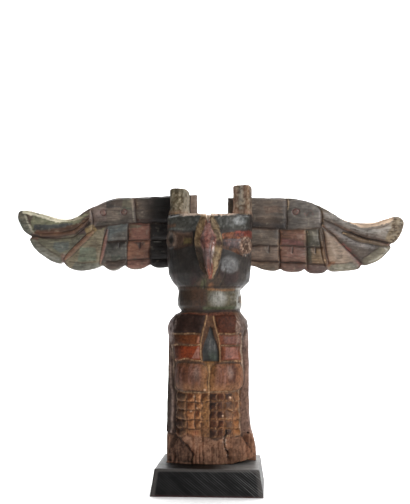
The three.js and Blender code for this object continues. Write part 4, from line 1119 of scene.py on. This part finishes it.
RIGHT_WING = {
    "name": "right_plank_wing", "node": "right_wing", "direction": 1,
    "end": (0.23, 0.215, 0.2), "tip_specks": 1.0,
    "leading_edge": [
        (0, 0), (30, -0.3), (44.8, -2), (56.3, -7.2), (66.6, -13.2), (74, -14.8), (83, -14.8),
        (95.5, -11.2), (100, -15), (97.7, -22.1), (95, -25.6), (92.6, -26.8)],
    "feathers": [
        [(91.8, -27.4), (92.1, -29.7), (86.4, -35.7), (79, -38.9), (76.2, -38.8)],
        [(76, -38.8), (74, -41.1), (68, -42), (60, -42.5), (57, -41.3)],
        [(56.8, -41.3), (53.6, -43.3), (47.1, -43.3), (43.8, -41.2)],
        [(43.6, -41.2), (40.6, -42.6), (33.6, -42.5), (30.2, -41)],
        [(30, -41), (26, -42), (20, -41.2), (13.5, -39), (0, -38)]],
    "furrows": [
        [(33.7, -1), (33.7, -17.6)],
        [(0, -17), (33.7, -18), (46, -18.6), (53, -17.4)],
        [(0, -27.8), (34, -27.8), (53.5, -29)],
        [(0, -35.4), (34, -37.2), (55, -38.6)],
        [(29.6, -18), (29.6, -41)],
        [(44.6, -18.4), (45.4, -41.5)],
        [(51.5, -4.6), (53.8, -10), (53, -17.4)],
        [(54.6, -12.8), (61.3, -16.2), (70.5, -21.0), (79, -23.8), (89, -25.9), (92.2, -26.9)],
        [(54.2, -16.6), (62.3, -24.4), (70.2, -32.7), (75.8, -37.8)],
        [(53.9, -18), (55.4, -28), (57.2, -37.8)]],
    "creases": [
        [(85.6, -29.0), (81, -32.0), (76.4, -35.2)],
        [(59.6, -38.2), (70.6, -37.4)]],
    "ribs": [
        ([(52.4, -19), (53.7, -28), (55.7, -38.6)], (0.08, 0.04, 0.016)),
        ([(66, -20.8), (75, -24.4), (81, -25.8), (90, -27.6)], (0.125, 0.08, 0.036), 0.0042)],
    "rings": [(39, -8.3)],
    "bevel": ([(64, -12.4), (70.5, -15.4), (75.5, -17.1), (80.8, -17.7), (84.3, -17.2),
               (89.7, -15.6), (94, -13.4)], 0.0024, (0.64, 0.49, 0.37)),
    "inner_shade": (9, 1, (0.3, 0.26, 0.26)),
    "hollows": [],
    "ticks": [
        [(23.9, -28.2), (23.8, -31.0)], [(37.2, -29.0), (37.2, -31.8)],
        [(49.7, -29.2), (49.7, -31.6)]],
    "ground": (0.115, 0.088, 0.066),
    "paint": [
        ([(0, 2), (33.7, 2), (33.7, -17.8), (0, -17)], (0.094, 0.075, 0.062)),
        ([(4, -11.4), (33.7, -12), (33.7, -17.8), (4, -17.2)], (0.032, 0.026, 0.024)),
        ([(20, -5), (31, -5), (31, -9), (22, -9)], (0.108, 0.074, 0.056)),
        ([(33.7, 2), (56, 2), (53.4, -17.6), (33.7, -17.8)], (0.104, 0.092, 0.082)),
        ([(47, -4), (52.6, -6), (53, -13), (50, -14)], (0.116, 0.106, 0.098)),
        ([(0, -17.2), (29.6, -18.2), (29.6, -27.8), (0, -27.8)], (0.108, 0.091, 0.077)),
        ([(0, -27.8), (29.6, -27.8), (29.6, -37), (0, -35.6)], (0.14, 0.105, 0.086)),
        ([(29.6, -18.2), (44.6, -18.6), (45, -28.4), (29.6, -27.8)], (0.13, 0.062, 0.036)),
        ([(34, -20.5), (43, -20.5), (43, -25), (37, -24)], (0.15, 0.072, 0.048)),
        ([(39.4, -21.4), (42.4, -21.4), (42, -23.6), (40, -23.6)], (0.24, 0.15, 0.115)),
        ([(31, -23.6), (43.4, -25), (43.4, -27.8), (31, -27)], (0.17, 0.068, 0.058)),
        ([(29.6, -27.8), (45, -28.4), (45.4, -37.8), (29.6, -37)], (0.165, 0.085, 0.066)),
        ([(44.6, -18.6), (54, -18.6), (55, -28.6), (45, -28.4)], (0.082, 0.076, 0.058)),
        # Painted highlight: a pale glint on a cell of the third column.
        ([(48, -19.8), (52.6, -21), (53.4, -25.6), (49.6, -25.4)], (0.19, 0.176, 0.144)),
        ([(45, -28.4), (55, -28.8), (57, -38.6), (45.4, -38)], (0.138, 0.092, 0.052)),
        ([(44.8, -19), (46.8, -19), (48, -38), (45.4, -38)], (0.052, 0.047, 0.03)),
        ([(0, -35.8), (29.6, -37), (29.8, -44), (0, -44)], (0.142, 0.104, 0.076)),
        ([(29.6, -37.2), (45.4, -38), (45.6, -46), (29.8, -46)], (0.13, 0.072, 0.06)),
        ([(45.4, -38.2), (57, -38.8), (57, -46), (45.6, -46)], (0.088, 0.056, 0.048)),
        ([(54, -8), (66, -12), (74, -14), (96, -11), (97, -25), (78, -22.4), (66, -17.6), (54.6, -12)],
         (0.215, 0.192, 0.17)),
        ([(56, -11.6), (66, -16.0), (78, -20.4), (92, -23.4), (92, -26), (78, -22.8), (66, -17.8)],
         (0.072, 0.044, 0.034)),
        ([(54.4, -13), (66, -18.4), (78, -23.4), (93, -27), (92, -34), (77, -39), (70, -33)],
         (0.094, 0.074, 0.061)),
        ([(56, -15.6), (61, -18.8), (66, -24), (61.4, -22.6)], (0.25, 0.18, 0.15)),
        ([(53, -17.4), (62.3, -25.2), (75.6, -38.4), (70, -44), (57, -42)], (0.26, 0.196, 0.148)),
        ([(56.6, -36.8), (61, -36.8), (60, -39.6), (56.8, -39.6)], (0.2, 0.105, 0.062)),
        ([(86, -28.4), (81, -32.6), (76.4, -36), (77, -41), (94, -34), (94, -28)], (0.175, 0.155, 0.112)),
        ([(58.4, -38.6), (70.8, -37.4), (74, -40), (70, -45), (57, -44)], (0.175, 0.16, 0.122)),
        ([(94.6, -11.6), (91.6, -18.6), (89.2, -24.6), (91.6, -27), (99, -24.6), (101, -14), (98, -10)],
         (0.165, 0.128, 0.082))],
    "lines": [
        ([(34.6, -1.2), (34.4, -7)], (0.62, 0.5, 0.35)),
        ([(53.3, -6.6), (54.2, -12), (53.4, -15.6)], (0.19, 0.14, 0.075), 0.0018),
        ([(52.2, -8.6), (52.6, -15.4)], (0.26, 0.245, 0.235)),
        ([(29.2, -18.8), (29.0, -40)], (0.19, 0.138, 0.088), 0.0016),
        ([(44.2, -19), (44.7, -40)], (0.165, 0.125, 0.075), 0.0014),
        ([(21.6, -28.6), (22.6, -30.8), (23.6, -31.4)], (0.25, 0.215, 0.185)),
        ([(34.9, -29.2), (35.9, -31.4), (37.0, -32.2)], (0.28, 0.19, 0.155)),
        ([(47.6, -29.4), (48.6, -31.4), (49.6, -32.0)], (0.26, 0.2, 0.15)),
        ([(56, -12.2), (64, -15.6), (70.5, -18.6), (79, -21.4), (89, -23.6)], (0.23, 0.2, 0.172), 0.0022),
        # Painted highlight: a pale glint along the top feather.
        ([(56, -9.6), (66, -14.6), (74, -18.2), (84, -19.8), (92, -17.6)], (0.34, 0.325, 0.3), 0.003),
        ([(67.6, -15.4), (75.5, -18.2), (83, -18.4), (89.7, -16.6), (94, -14.2)],
         (0.085, 0.056, 0.038), 0.0009),
        # Painted highlights: pale glints on the second and third feathers.
        ([(56.4, -16.4), (63, -21.4), (72, -26.6), (82, -28.8)], (0.27, 0.245, 0.235), 0.0034),
        ([(55.8, -20), (58.6, -27), (62, -33.6)], (0.37, 0.29, 0.23), 0.0032),
        ([(54.6, -16.6), (60.6, -22.8), (65, -27.6)], (0.27, 0.13, 0.07), 0.002),
        ([(65.4, -26.8), (70, -31.0)], (0.23, 0.06, 0.05), 0.0024),
        ([(68.4, -30.4), (72, -34.4), (75.4, -38.4)], (0.19, 0.036, 0.034), 0.0028),
        ([(61, -15.4), (66, -17.9), (72, -20.4)], (0.18, 0.095, 0.062), 0.0016),
        ([(71, -22.6), (79, -25.2), (88, -27.2)], (0.19, 0.13, 0.075), 0.0018),
        ([(54.6, -20), (56, -29), (57.6, -37)], (0.17, 0.085, 0.055), 0.0009),
        ([(87, -26.8), (91.4, -27.4)], (0.17, 0.072, 0.05), 0.0013),
        ([(94.6, -18.6), (94.5, -19.0)], (0.02, 0.014, 0.01), 0.0011),
        ([(93.7, -20.2), (93.6, -20.6)], (0.02, 0.014, 0.01), 0.001),
        ([(98.4, -14.6), (98.8, -15.0)], (0.64, 0.6, 0.54), 0.0009),
        ([(80.5, -37.0), (86.0, -34.4), (90.6, -30.4)], (0.33, 0.32, 0.27), 0.0016),
        ([(60.5, -40.6), (67, -40.4), (72.6, -39.4)], (0.28, 0.27, 0.22), 0.0016),
        ([(98.6, -13.4), (98.2, -18.4), (95.4, -24.4)], (0.07, 0.052, 0.034), 0.0022),
        ([(89.2, -29.4), (90.2, -30.2)], (0.56, 0.54, 0.48), 0.0012),
        ([(37.8, -9.8), (39.2, -6.8)], (0.2, 0.058, 0.046), 0.0007),
        ([(39.2, -9.9), (40.5, -7.2)], (0.2, 0.058, 0.046), 0.0007),
        ([(43.9, -9.8), (45.0, -7.8), (47.4, -7.6), (48.7, -10)], (0.165, 0.055, 0.045), 0.0008),
        ([(44.8, -10.6), (46.6, -9.0)], (0.165, 0.06, 0.05), 0.0007)],
}

WING_VOXEL = 0.00095
WING_CHAMFER = 0.0025
WING_GRIME_AND_SHADE = 0.55
FURROW_HALF, FURROW_DEPTH = 0.0018, 0.0016
CREASE_HALF, CREASE_DEPTH = 0.0012, 0.0005
PILLOW_REACH, PILLOW_DEPTH = 0.0042, 0.002
EDGE_REACH, EDGE_DEPTH = 0.0025, 0.0012
BEVEL_REACH = 0.009
RIB_HALF, RIB_HEIGHT = 0.0032, 0.0018
RIB_SIDE, RIB_SIDE_DEPTH = 0.001, 0.0006
RING_RADIUS = 0.005
RING_HALF = RING_DEPTH = 0.0015
TICK_HALF, TICK_DEPTH = 0.0015, 0.0016
LINE_HALF = 0.0011
DARK_REACH = 0.0036


def inset_outline(outline, distance):
    """A closed outline moved inwards."""
    points = np.array(outline)
    along = np.roll(points, -1, axis=0) - np.roll(points, 1, axis=0)
    along /= np.linalg.norm(along, axis=1)[:, None]
    x, z = points.T
    area = (x * np.roll(z, -1) - z * np.roll(x, -1)).sum()
    inward = np.c_[-along[:, 1], along[:, 0]] * math.copysign(distance, area)
    return points + inward


def plank_mesh(name, outline, front, back):
    inset = inset_outline(outline, WING_CHAMFER)
    outline = np.array(outline)
    depths = (front, front + WING_CHAMFER, back - WING_CHAMFER, back)
    rings = []
    for ring, y in zip((inset, outline, outline, inset), depths):
        rings.append(np.c_[ring[:, 0], np.full(len(ring), y), ring[:, 1]])
    return lofted(name, rings)


def curved(path, steps=4):
    return through(path, steps) if len(path) > 2 else path


def distance_to_paths(u, v, paths):
    return np.minimum.reduce([distance_to_path(u, v, curved(path)) for path in paths])


def wing_outline(wing, steps):
    edges = [wing["leading_edge"]] + wing["feathers"]
    return [point for edge in edges for point in through(edge, steps)]


def tapered(u, v, path):
    """A share from 0 at the ends of a path to 1 along its middle."""
    ends = [np.hypot(u - end[0], v - end[1]) for end in (path[0], path[-1])]
    return 0.5 + 0.5 * ramp(np.minimum(*ends), 0, 5)


def carve_wing(wing, u, v, wander):
    """Lift of the wing's face in metres, with how close each point is to its grooves."""
    share = wing["share"]
    grooved = distance_to_paths(u, v, wing["furrows"]) * share
    creased = distance_to_paths(u, v, wing["creases"]) * share
    outline = wing_outline(wing, 2)
    edge = distance_to_path(u, v, outline + outline[:1]) * share
    lift = -FURROW_DEPTH * (1 + 0.3 * wander) * np.clip(1 - grooved / FURROW_HALF, 0, 1)
    lift -= PILLOW_DEPTH * np.exp(-grooved / PILLOW_REACH)
    lift -= CREASE_DEPTH * bell(creased, CREASE_HALF)
    lift -= EDGE_DEPTH * np.exp(-edge / EDGE_REACH)
    for path, reach, depth in wing["hollows"]:
        lift -= depth * bell(distance_to_path(u, v, curved(path)) * share, reach)
    for path, _, *wide in wing["ribs"]:
        near = distance_to_path(u, v, curved(path)) * share
        taper = tapered(u, v, path)
        half = (wide[0] if wide else RIB_HALF) * taper
        lift += RIB_HEIGHT * taper * np.sqrt(np.clip(1 - (near / half) ** 2, 0, 1))
        lift -= RIB_SIDE_DEPTH * bell(near - half - 0.0008, RIB_SIDE)
    for ring_u, ring_v in wing["rings"]:
        away = np.abs(np.hypot(u - ring_u, v - ring_v) * share - RING_RADIUS)
        lift -= RING_DEPTH * np.clip(1 - away / RING_HALF, 0, 1)
    ticked = distance_to_paths(u, v, wing["ticks"]) * share
    lift -= TICK_DEPTH * ramp(TICK_HALF - ticked, 0, 0.0012)
    crease, depth, _ = wing["bevel"]
    above, near = beyond_crease(u, v, crease)
    lift -= depth * above * np.clip(near * share / BEVEL_REACH, 0, 1)
    return lift, grooved, creased


def beyond_crease(u, v, crease):
    """Whether points lie above the crease of the leading edge, and how far from it."""
    path = curved(crease)
    us, vs = np.array(path).T
    above = ramp(v - np.interp(u, us, vs), -0.1, 0.3)
    above *= ramp(u, us[0] - 0.5, us[0] + 3) * ramp(us[-1] + 0.5 - u, 0, 1)
    return above, distance_to_path(u, v, path)


def paint_wing(wing, coat, u, v, grooved, creased, mottle, broad, fine):
    share = wing["share"]
    for outline, colour in wing["paint"]:
        paint_area(coat, u + 0.3 * mottle, v + 0.3 * mottle, outline, colour, 1.1)
    coat.brush(ramp(broad, 0.1, 0.9) * 0.3, (0.15, 0.1, 0.066))
    coat.brush(ramp(mottle, 0.25, 0.8) * 0.3, (0.23, 0.205, 0.165))
    coat.brush(ramp(-mottle, 0.3, 0.8) * 0.3, (0.04, 0.03, 0.023))
    coat.tone(ramp(fine, 0.1, 0.8), (1.25, 1.24, 1.22))
    coat.tone(ramp(-fine, 0.1, 0.8), (0.74, 0.72, 0.7))
    crease, _, colour = wing["bevel"]
    above, _ = beyond_crease(u, v + 0.6 * mottle, crease)
    coat.brush(above * ramp(fine + mottle, -1.6, -0.6), colour, 0.3)
    for path, colour, *wide in wing["ribs"]:
        near = distance_to_path(u, v, curved(path)) * share
        half = (wide[0] if wide else RIB_HALF) * tapered(u, v, path)
        coat.brush(ramp(half - near, -0.0004, 0.0014) * (0.75 + 0.2 * mottle), colour)
        # Painted shade: darker either side of each raised rib.
        side = bell(near - half - 0.0003, 0.0009)
        coat.tone(side * (0.8 + 0.4 * mottle), (0.55, 0.48, 0.45))
    for path, colour, *half in wing["lines"]:
        near = distance_to_path(u, v, curved(path)) * share
        width = half[0] if half else LINE_HALF
        line = bell(near, width) * ramp(mottle + fine, -1.1, 0.1)
        coat.brush(line * 0.8, colour)
    # Painted shade: each cell is darker towards the furrows round it.
    coat.tone(np.exp(-grooved / DARK_REACH) * (0.8 + 0.5 * broad), (0.62, 0.47, 0.4))
    worn = ramp(broad + 0.8 * mottle, -0.9, 0.5)
    furrow = ramp(FURROW_HALF * 1.1 - grooved, 0, FURROW_HALF)
    coat.brush(furrow * (0.15 + 0.5 * worn), (0.04, 0.023, 0.015))
    coat.tone(bell(creased, 0.0014) * (0.7 + 0.4 * mottle), (0.42, 0.36, 0.32))
    for ring_u, ring_v in wing["rings"]:
        away = np.hypot(u - ring_u, v - ring_v) * share
        coat.brush(ramp(RING_RADIUS + 0.001 - away, 0, 0.001) * 0.35, (0.2, 0.115, 0.092))
        ring = ramp(0.0016 - np.abs(away - RING_RADIUS), 0, 0.001)
        coat.brush(ring * ramp(mottle, -0.6, 0.0) * 0.75, (0.11, 0.04, 0.032))
    for path in wing["ticks"]:
        near = distance_to_path(u, v, path) * share
        coat.brush(ramp(0.0016 - near, 0, 0.001) * 0.8, (0.028, 0.018, 0.015))
    tip = ramp(u, 89.5, 93.5) * wing["tip_specks"]
    coat.tone(tip * ramp(-mottle - 0.5 * fine, 0.1, 0.5), (0.42, 0.36, 0.3))
    coat.brush(tip * ramp(mottle + 0.5 * fine, 0.3, 0.7) * 0.6, (0.3, 0.26, 0.19))
    start, full, factor = wing["inner_shade"]
    coat.tone(ramp(start - u, 0, start - full) * ramp(v, -15.6, -15.0), factor)
    strip = ramp(3.8 - u, 0, 0.3) * ramp(v, -16, -15)
    coat.brush(strip, wing["end"])


def dress_wing(wing, points, normals, place):
    """Lift, in units, and coat over the points of a wing. place gives wing shares."""
    unsteady = np.c_[noise(points, 0.014, 71), np.zeros(len(points)), noise(points, 0.014, 72)]
    u, v = place(points + 0.0007 * unsteady)
    mottle = noise(points, 0.004, 73, 3)
    broad = noise(points, (0.05, 0.02, 0.015), 74, 2)
    front = ramp(-normals[:, 1], 0.3, 0.8)
    coat = Coat(len(points), wing["ground"], 0.6)
    fine = noise(points, (0.008, 0.0024, 0.0021), 75, 2)
    lift, grooved, creased = carve_wing(wing, u, v, broad)
    paint_wing(wing, coat, u, v, grooved, creased, mottle, broad, fine)
    side = 1 - ramp(-normals[:, 1], -0.1, 0.3)
    coat.brush(side * 0.8, wing["ground"])
    back = ramp(normals[:, 1], 0.3, 0.8)
    coat.brush(back, OLD_WOOD, 0.2)
    inner_end = ramp(abs(normals[:, 0]), 0.6, 0.9) * ramp(1.5 - u, 0, 1)
    coat.brush(inner_end, wing["end"])
    coat.lift = lift * front / UNIT
    rough_wood(coat, points / UNIT, (7.0, 1.0, 1.0), 81, back)
    coat.edge = 0.42 + 0.6 * mottle
    return coat


def build_wing(wing):
    low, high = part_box(wing["node"])
    wing["share"] = (high.x - low.x) / 100
    inner = high.x if wing["direction"] < 0 else low.x
    top = high.z
    share, direction = wing["share"], wing["direction"]
    outline = [(inner + direction * u * share, top + v * share) for u, v in wing_outline(wing, 6)]
    made = plank_mesh(wing["name"], outline, low.y + RIB_HEIGHT, high.y)
    remeshed(made, WING_VOXEL)
    smoothed(made, 4)
    points, normals = read_points(made.data), read_normals(made.data)

    def place(at):
        return (at[:, 0] - inner) * direction / share, (at[:, 2] - top) / share

    coat = dress_wing(wing, points, normals, place)
    points += normals * (coat.lift * UNIT)[:, None]
    move_points(made, points)
    add_wear(made, coat, WING_EDGE)
    coat.grime_and_shade *= WING_GRIME_AND_SHADE
    coat.write(made.data)
    return made


# The plinth, in metres: how much wider it is at its foot, its drawn-in top edge, and how many
# points lie along a side
PLINTH_FLARE = 0.0065
PLINTH_CORNER = 0.0012
PLINTH_STEPS = 60


def square_outline(steps):
    """Points round a square that reaches 1 to every side, steps of them along each."""
    side, share = np.divmod(np.linspace(0, 4, 4 * steps, endpoint=False), 1)
    run = share * 2 - 1
    one = np.ones_like(run)
    sides = [[run, -one], [one, run], [-run, one]]
    return np.select([side == 0, side == 1, side == 2], sides, [-one, -run]).T


def plinth_mesh():
    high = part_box("plinth")[1]
    foot = np.array([high.x, high.y])
    top = foot - PLINTH_FLARE
    square = square_outline(PLINTH_STEPS)
    rings = []
    for z in np.r_[0, np.linspace(0.0006, 1, 22) * (high.z - PLINTH_CORNER), high.z]:
        half = top + (foot - top) * (1 - z / high.z)
        half -= PLINTH_CORNER if z == high.z else 0
        rings.append(np.c_[square * half, np.full(len(square), z)])
    rings += cap_rings(rings[-1], steps=40)
    return lofted("black_plinth", rings)


def dress_plinth(made, points, normals):
    coat = Coat(len(points), (0.0032, 0.0032, 0.0033), 0.36)
    add_wear(made, coat, PLINTH_EDGE)
    side = ramp(normals[:, 2], 0.9, 0.5)
    # Painted light: darker towards the left, and paler grain lines towards the right, as lit from the
    # right.
    shaded_left = ramp(0.01 - points[:, 0], 0, 0.06)
    lit_right = ramp(points[:, 0], 0.03, 0.07)
    coat.tone(shaded_left, (0.5, 0.5, 0.5))
    coat.shine += 0.6 * lit_right - 0.2 * shaded_left
    coat.shine *= side
    # Painted reflection: the right part of the top is paler.
    painted_top_reflection = (1 - side) * ramp(points[:, 0], 0.0, 0.05)
    coat.brush(painted_top_reflection, (0.11, 0.105, 0.1))
    # Painted reflection: a reddish line along the bottom edge.
    coat.brush(ramp(0.0025 - points[:, 2], 0, 0.0015), (0.05, 0.02, 0.018))
    return coat


def build_plinth():
    made = plinth_mesh()
    points, normals = read_points(made.data), read_normals(made.data)
    lift = 0.00012 * noise(points, (0.05, 0.004, 0.004), 91, 2)
    lift += 0.0002 * noise(points, 0.012, 92)
    points += normals * (lift * ramp(points[:, 2], 0, 0.001))[:, None]
    move_points(made, points)
    dress_plinth(made, points, normals).write(made.data)
    return made


# Materials

class Tree:
    """A small helper that adds and links the nodes of one material."""

    def __init__(self, name):
        self.material = bpy.data.materials.new(name)
        self.material.use_nodes = True
        self.nodes = self.material.node_tree.nodes
        self.links = self.material.node_tree.links
        self.shader = self.nodes["Principled BSDF"]

    def put(self, socket, value):
        """Links a node's output to a socket, or sets the socket to a number or colour."""
        if isinstance(value, bpy.types.NodeSocket):
            self.links.new(value, socket)
        else:
            socket.default_value = (*value, 1) if isinstance(value, tuple) else value

    def shade(self, name, value):
        self.put(self.shader.inputs[name], value)

    def attribute(self, name, output="Fac"):
        node = self.nodes.new("ShaderNodeAttribute")
        node.attribute_name = name
        return node.outputs[output]

    def stretched(self, scale, turn=(0, 0, 0)):
        node = self.nodes.new("ShaderNodeMapping")
        node.vector_type = "TEXTURE"
        coordinates = self.nodes.new("ShaderNodeTexCoord")
        self.links.new(coordinates.outputs["Object"], node.inputs["Vector"])
        node.inputs["Scale"].default_value = [1 / share for share in scale]
        node.inputs["Rotation"].default_value = turn
        return node.outputs["Vector"]

    def noise(self, vector, scale, detail=4.0, roughness=0.55, distortion=0.0):
        node = self.nodes.new("ShaderNodeTexNoise")
        self.links.new(vector, node.inputs["Vector"])
        node.inputs["Scale"].default_value = scale
        node.inputs["Detail"].default_value = detail
        node.inputs["Roughness"].default_value = roughness
        node.inputs["Distortion"].default_value = distortion
        return node.outputs["Fac"]

    def lines(self, vector, scale, distortion):
        """Soft parallel bands across the vector's z."""
        node = self.nodes.new("ShaderNodeTexWave")
        node.bands_direction = "Z"
        self.links.new(vector, node.inputs["Vector"])
        node.inputs["Scale"].default_value = scale
        node.inputs["Distortion"].default_value = distortion
        node.inputs["Detail"].default_value = 2.0
        node.inputs["Detail Scale"].default_value = 0.6
        return node.outputs["Fac"]

    def range(self, value, low, high, to_low=0.0, to_high=1.0):
        node = self.nodes.new("ShaderNodeMapRange")
        node.interpolation_type = "SMOOTHSTEP"
        for name, given in (("Value", value), ("From Min", low), ("From Max", high),
                            ("To Min", to_low), ("To Max", to_high)):
            self.put(node.inputs[name], given)
        return node.outputs["Result"]

    def math(self, operation, a, b):
        node = self.nodes.new("ShaderNodeMath")
        node.operation = operation
        self.put(node.inputs[0], a)
        self.put(node.inputs[1], b)
        return node.outputs[0]

    def mix(self, factor, a, b, blend="MIX"):
        node = self.nodes.new("ShaderNodeMix")
        node.data_type = "RGBA"
        node.blend_type = blend
        self.put(node.inputs[0], factor)
        self.put(node.inputs[6], a)
        self.put(node.inputs[7], b)
        return node.outputs[2]

    def times(self, colour, factor):
        return self.mix(1.0, colour, factor, "MULTIPLY")

    def bump(self, height, strength, distance):
        node = self.nodes.new("ShaderNodeBump")
        node.inputs["Strength"].default_value = strength
        node.inputs["Distance"].default_value = distance
        self.links.new(height, node.inputs["Height"])
        return node.outputs["Normal"]


def painted_wood(name, grain):
    """Old paint and varnish over carved wood. grain is how the texture is squeezed along each
    axis, least along the fibres."""
    tree = Tree(name)
    plain = tree.stretched((1, 1, 1))
    fibres = tree.noise(tree.stretched(grain), 420.0, 6.0, 0.6, 0.4)
    broad = tree.noise(plain, 28.0, 5.0, 0.6)
    blotch = tree.noise(plain, 95.0, 4.0, 0.65)
    speck = tree.noise(plain, 900.0, 3.0, 0.6)

    paint = tree.attribute("paint", "Color")
    dull = tree.times(paint, (0.43, 0.42, 0.41))
    varied = tree.mix(tree.range(broad, 0.35, 0.68), dull, tree.times(paint, (0.8, 0.77, 0.74)))
    faded = tree.mix(1.0, tree.times(paint, (1.05, 1.0, 0.95)), (0.012, 0.01, 0.009), "ADD")
    varied = tree.mix(tree.range(blotch, 0.52, 0.74, 0, 0.5), varied, faded)
    varied = tree.mix(tree.range(fibres, 0.3, 0.5, 0.4, 0), varied, (0.012, 0.009, 0.007))

    wood = tree.mix(tree.range(fibres, 0.36, 0.66), (0.075, 0.042, 0.022), (0.23, 0.15, 0.088))
    ragged = tree.math("ADD", tree.attribute("bare"), tree.range(blotch, 0.3, 0.75, -0.42, 0.42))
    ragged = tree.math("ADD", ragged, tree.range(speck, 0.3, 0.7, -0.12, 0.12))
    worn = tree.range(ragged, 0.42, 0.78)
    surface = tree.mix(worn, varied, wood)
    # Grime and painted shade: the hollows darken towards near black.
    dirt_and_shade = tree.math("MULTIPLY", tree.attribute("grime_and_shade"), tree.range(blotch, 0.2, 0.7, 1.0, 0.6))
    surface = tree.mix(tree.math("MULTIPLY", dirt_and_shade, 0.75), surface, (0.014, 0.01, 0.008))
    tree.shade("Base Color", surface)

    rough = tree.range(tree.attribute("shine"), 0.0, 1.0, 0.72, 0.26)
    rough = tree.math("ADD", rough, tree.range(blotch, 0.3, 0.7, -0.06, 0.12))
    rough = tree.math("ADD", rough, tree.math("MULTIPLY", worn, 0.18))
    tree.shade("Roughness", rough)
    tree.shade("Specular IOR Level", tree.range(tree.attribute("shine"), 0.3, 0.85, 0.07, 0.42))
    relief = tree.math("ADD", fibres, tree.math("MULTIPLY", blotch, 0.8))
    relief = tree.math("SUBTRACT", relief, tree.math("MULTIPLY", worn, 0.12))
    tree.shade("Normal", tree.bump(relief, 0.55, 0.0006))
    return tree.material


GRAIN_SLANT = 38


def stained_wood(name):
    """Black stain in open-grained wood, with the grain showing as paler raised lines."""
    tree = Tree(name)
    slant = (0, math.radians(GRAIN_SLANT), 0)
    slanted = tree.stretched((0.05, 1, 1), slant)
    grain = tree.lines(slanted, 100.0, 5.0)
    patchy = tree.noise(slanted, 200.0, 3.0, 0.5)
    pores = tree.noise(tree.stretched((0.06, 1, 1), slant), 900.0, 3.0, 0.6)
    cloud = tree.noise(tree.stretched((1, 1, 1)), 40.0, 4.0, 0.6)
    patches = tree.range(patchy, 0.36, 0.62, 0.15, 1.0)
    shown = tree.math("MULTIPLY", tree.range(grain, 0.45, 0.9), patches)
    shown = tree.math("MULTIPLY", shown, tree.attribute("shine"))
    surface = tree.mix(shown, tree.attribute("paint", "Color"), (0.062, 0.062, 0.061))
    surface = tree.mix(tree.range(cloud, 0.5, 0.8, 0, 0.3), surface, (0.014, 0.013, 0.013))
    bare = tree.math("MULTIPLY", tree.attribute("bare"), 0.35)
    tree.shade("Base Color", tree.mix(bare, surface, (0.1, 0.09, 0.085)))
    tree.shade("Roughness", tree.range(patchy, 0.3, 0.7, 0.4, 0.5))
    tree.shader.inputs["Specular IOR Level"].default_value = 0.12
    relief = tree.math("MULTIPLY", grain, tree.attribute("shine"))
    relief = tree.math("SUBTRACT", relief, tree.math("MULTIPLY", tree.range(pores, 0.55, 0.75), 0.5))
    tree.shade("Normal", tree.bump(relief, 0.35, 0.0003))
    return tree.material


# Stage, light and camera

def build_stage():
    """A pale floor that runs up into a pale backdrop."""
    half, near, far, bend, high = 4.5, -4.0, 1.7, 0.5, 4.0
    turn = np.linspace(0, math.pi / 2, 16)
    profile = [(near, 0.0)] + [(far + bend * math.sin(a), bend * (1 - math.cos(a))) for a in turn]
    profile.append((far + bend, high))
    points = [(x, y, z) for y, z in profile for x in (-half, half)]
    faces = [(2 * i, 2 * i + 1, 2 * i + 3, 2 * i + 2) for i in range(len(profile) - 1)]
    floor = mesh_object("floor", points, faces)
    floor.data.shade_smooth()
    tree = Tree("pale_floor")
    tree.shader.inputs["Base Color"].default_value = (0.86, 0.86, 0.86, 1)
    tree.shader.inputs["Roughness"].default_value = 0.6
    floor.data.materials.append(tree.material)


def area_light(name, place, target, width, height, power):
    data = bpy.data.lights.new(name, "AREA")
    data.shape = "RECTANGLE"
    data.size = width
    data.size_y = height
    data.energy = power
    light = bpy.data.objects.new(name, data)
    bpy.context.scene.collection.objects.link(light)
    light.location = place
    light.rotation_euler = (Vector(target) - Vector(place)).to_track_quat("-Z", "Y").to_euler()


def build_lights():
    world = bpy.data.worlds.new("white_room")
    bpy.context.scene.world = world
    world.use_nodes = True
    background = world.node_tree.nodes["Background"]
    background.inputs["Color"].default_value = (1.0, 1.0, 1.0, 1)
    background.inputs["Strength"].default_value = 0.14
    heart = (0.0, 0.0, 0.3)
    area_light("key", (1.85, -2.25, 1.7), heart, 1.9, 1.8, 138)
    area_light("backdrop", (0.0, 1.15, 2.4), (0.0, 1.45, 0.0), 3.4, 1.3, 165)


IMAGE_WIDTH, IMAGE_HEIGHT = 410, 504
FOCAL_PIXELS = 950.0
CAMERA_PLACE = (0.098, -1.595, 0.3065)
CAMERA_YAW = math.radians(3.79)
CAMERA_PITCH = math.radians(3.07)
SENSOR = 36.0


def build_camera():
    data = bpy.data.cameras.new("camera")
    data.sensor_width = SENSOR
    data.lens = FOCAL_PIXELS / max(IMAGE_WIDTH, IMAGE_HEIGHT) * SENSOR
    camera = bpy.data.objects.new("camera", data)
    bpy.context.scene.collection.objects.link(camera)
    camera.location = CAMERA_PLACE
    camera.rotation_euler = (math.pi / 2 + CAMERA_PITCH, 0, CAMERA_YAW)
    bpy.context.scene.camera = camera


def add_piece(made, node, material):
    made.data.shade_smooth()
    made.data.materials.clear()
    made.data.materials.append(material)
    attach(made, "root")
    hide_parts(node)


build_camera()
build_stage()
build_lights()
add_piece(build_pole(), "carved_pole", painted_wood("pole_paint", (1, 1, 0.1)))
for wing in (LEFT_WING, RIGHT_WING):
    add_piece(build_wing(wing), wing["node"], painted_wood(wing["name"] + "_paint", (0.1, 1, 1)))
add_piece(build_plinth(), "plinth", stained_wood("black_stain"))

view = bpy.context.scene.view_settings
view.view_transform = "Standard"
view.look = "None"
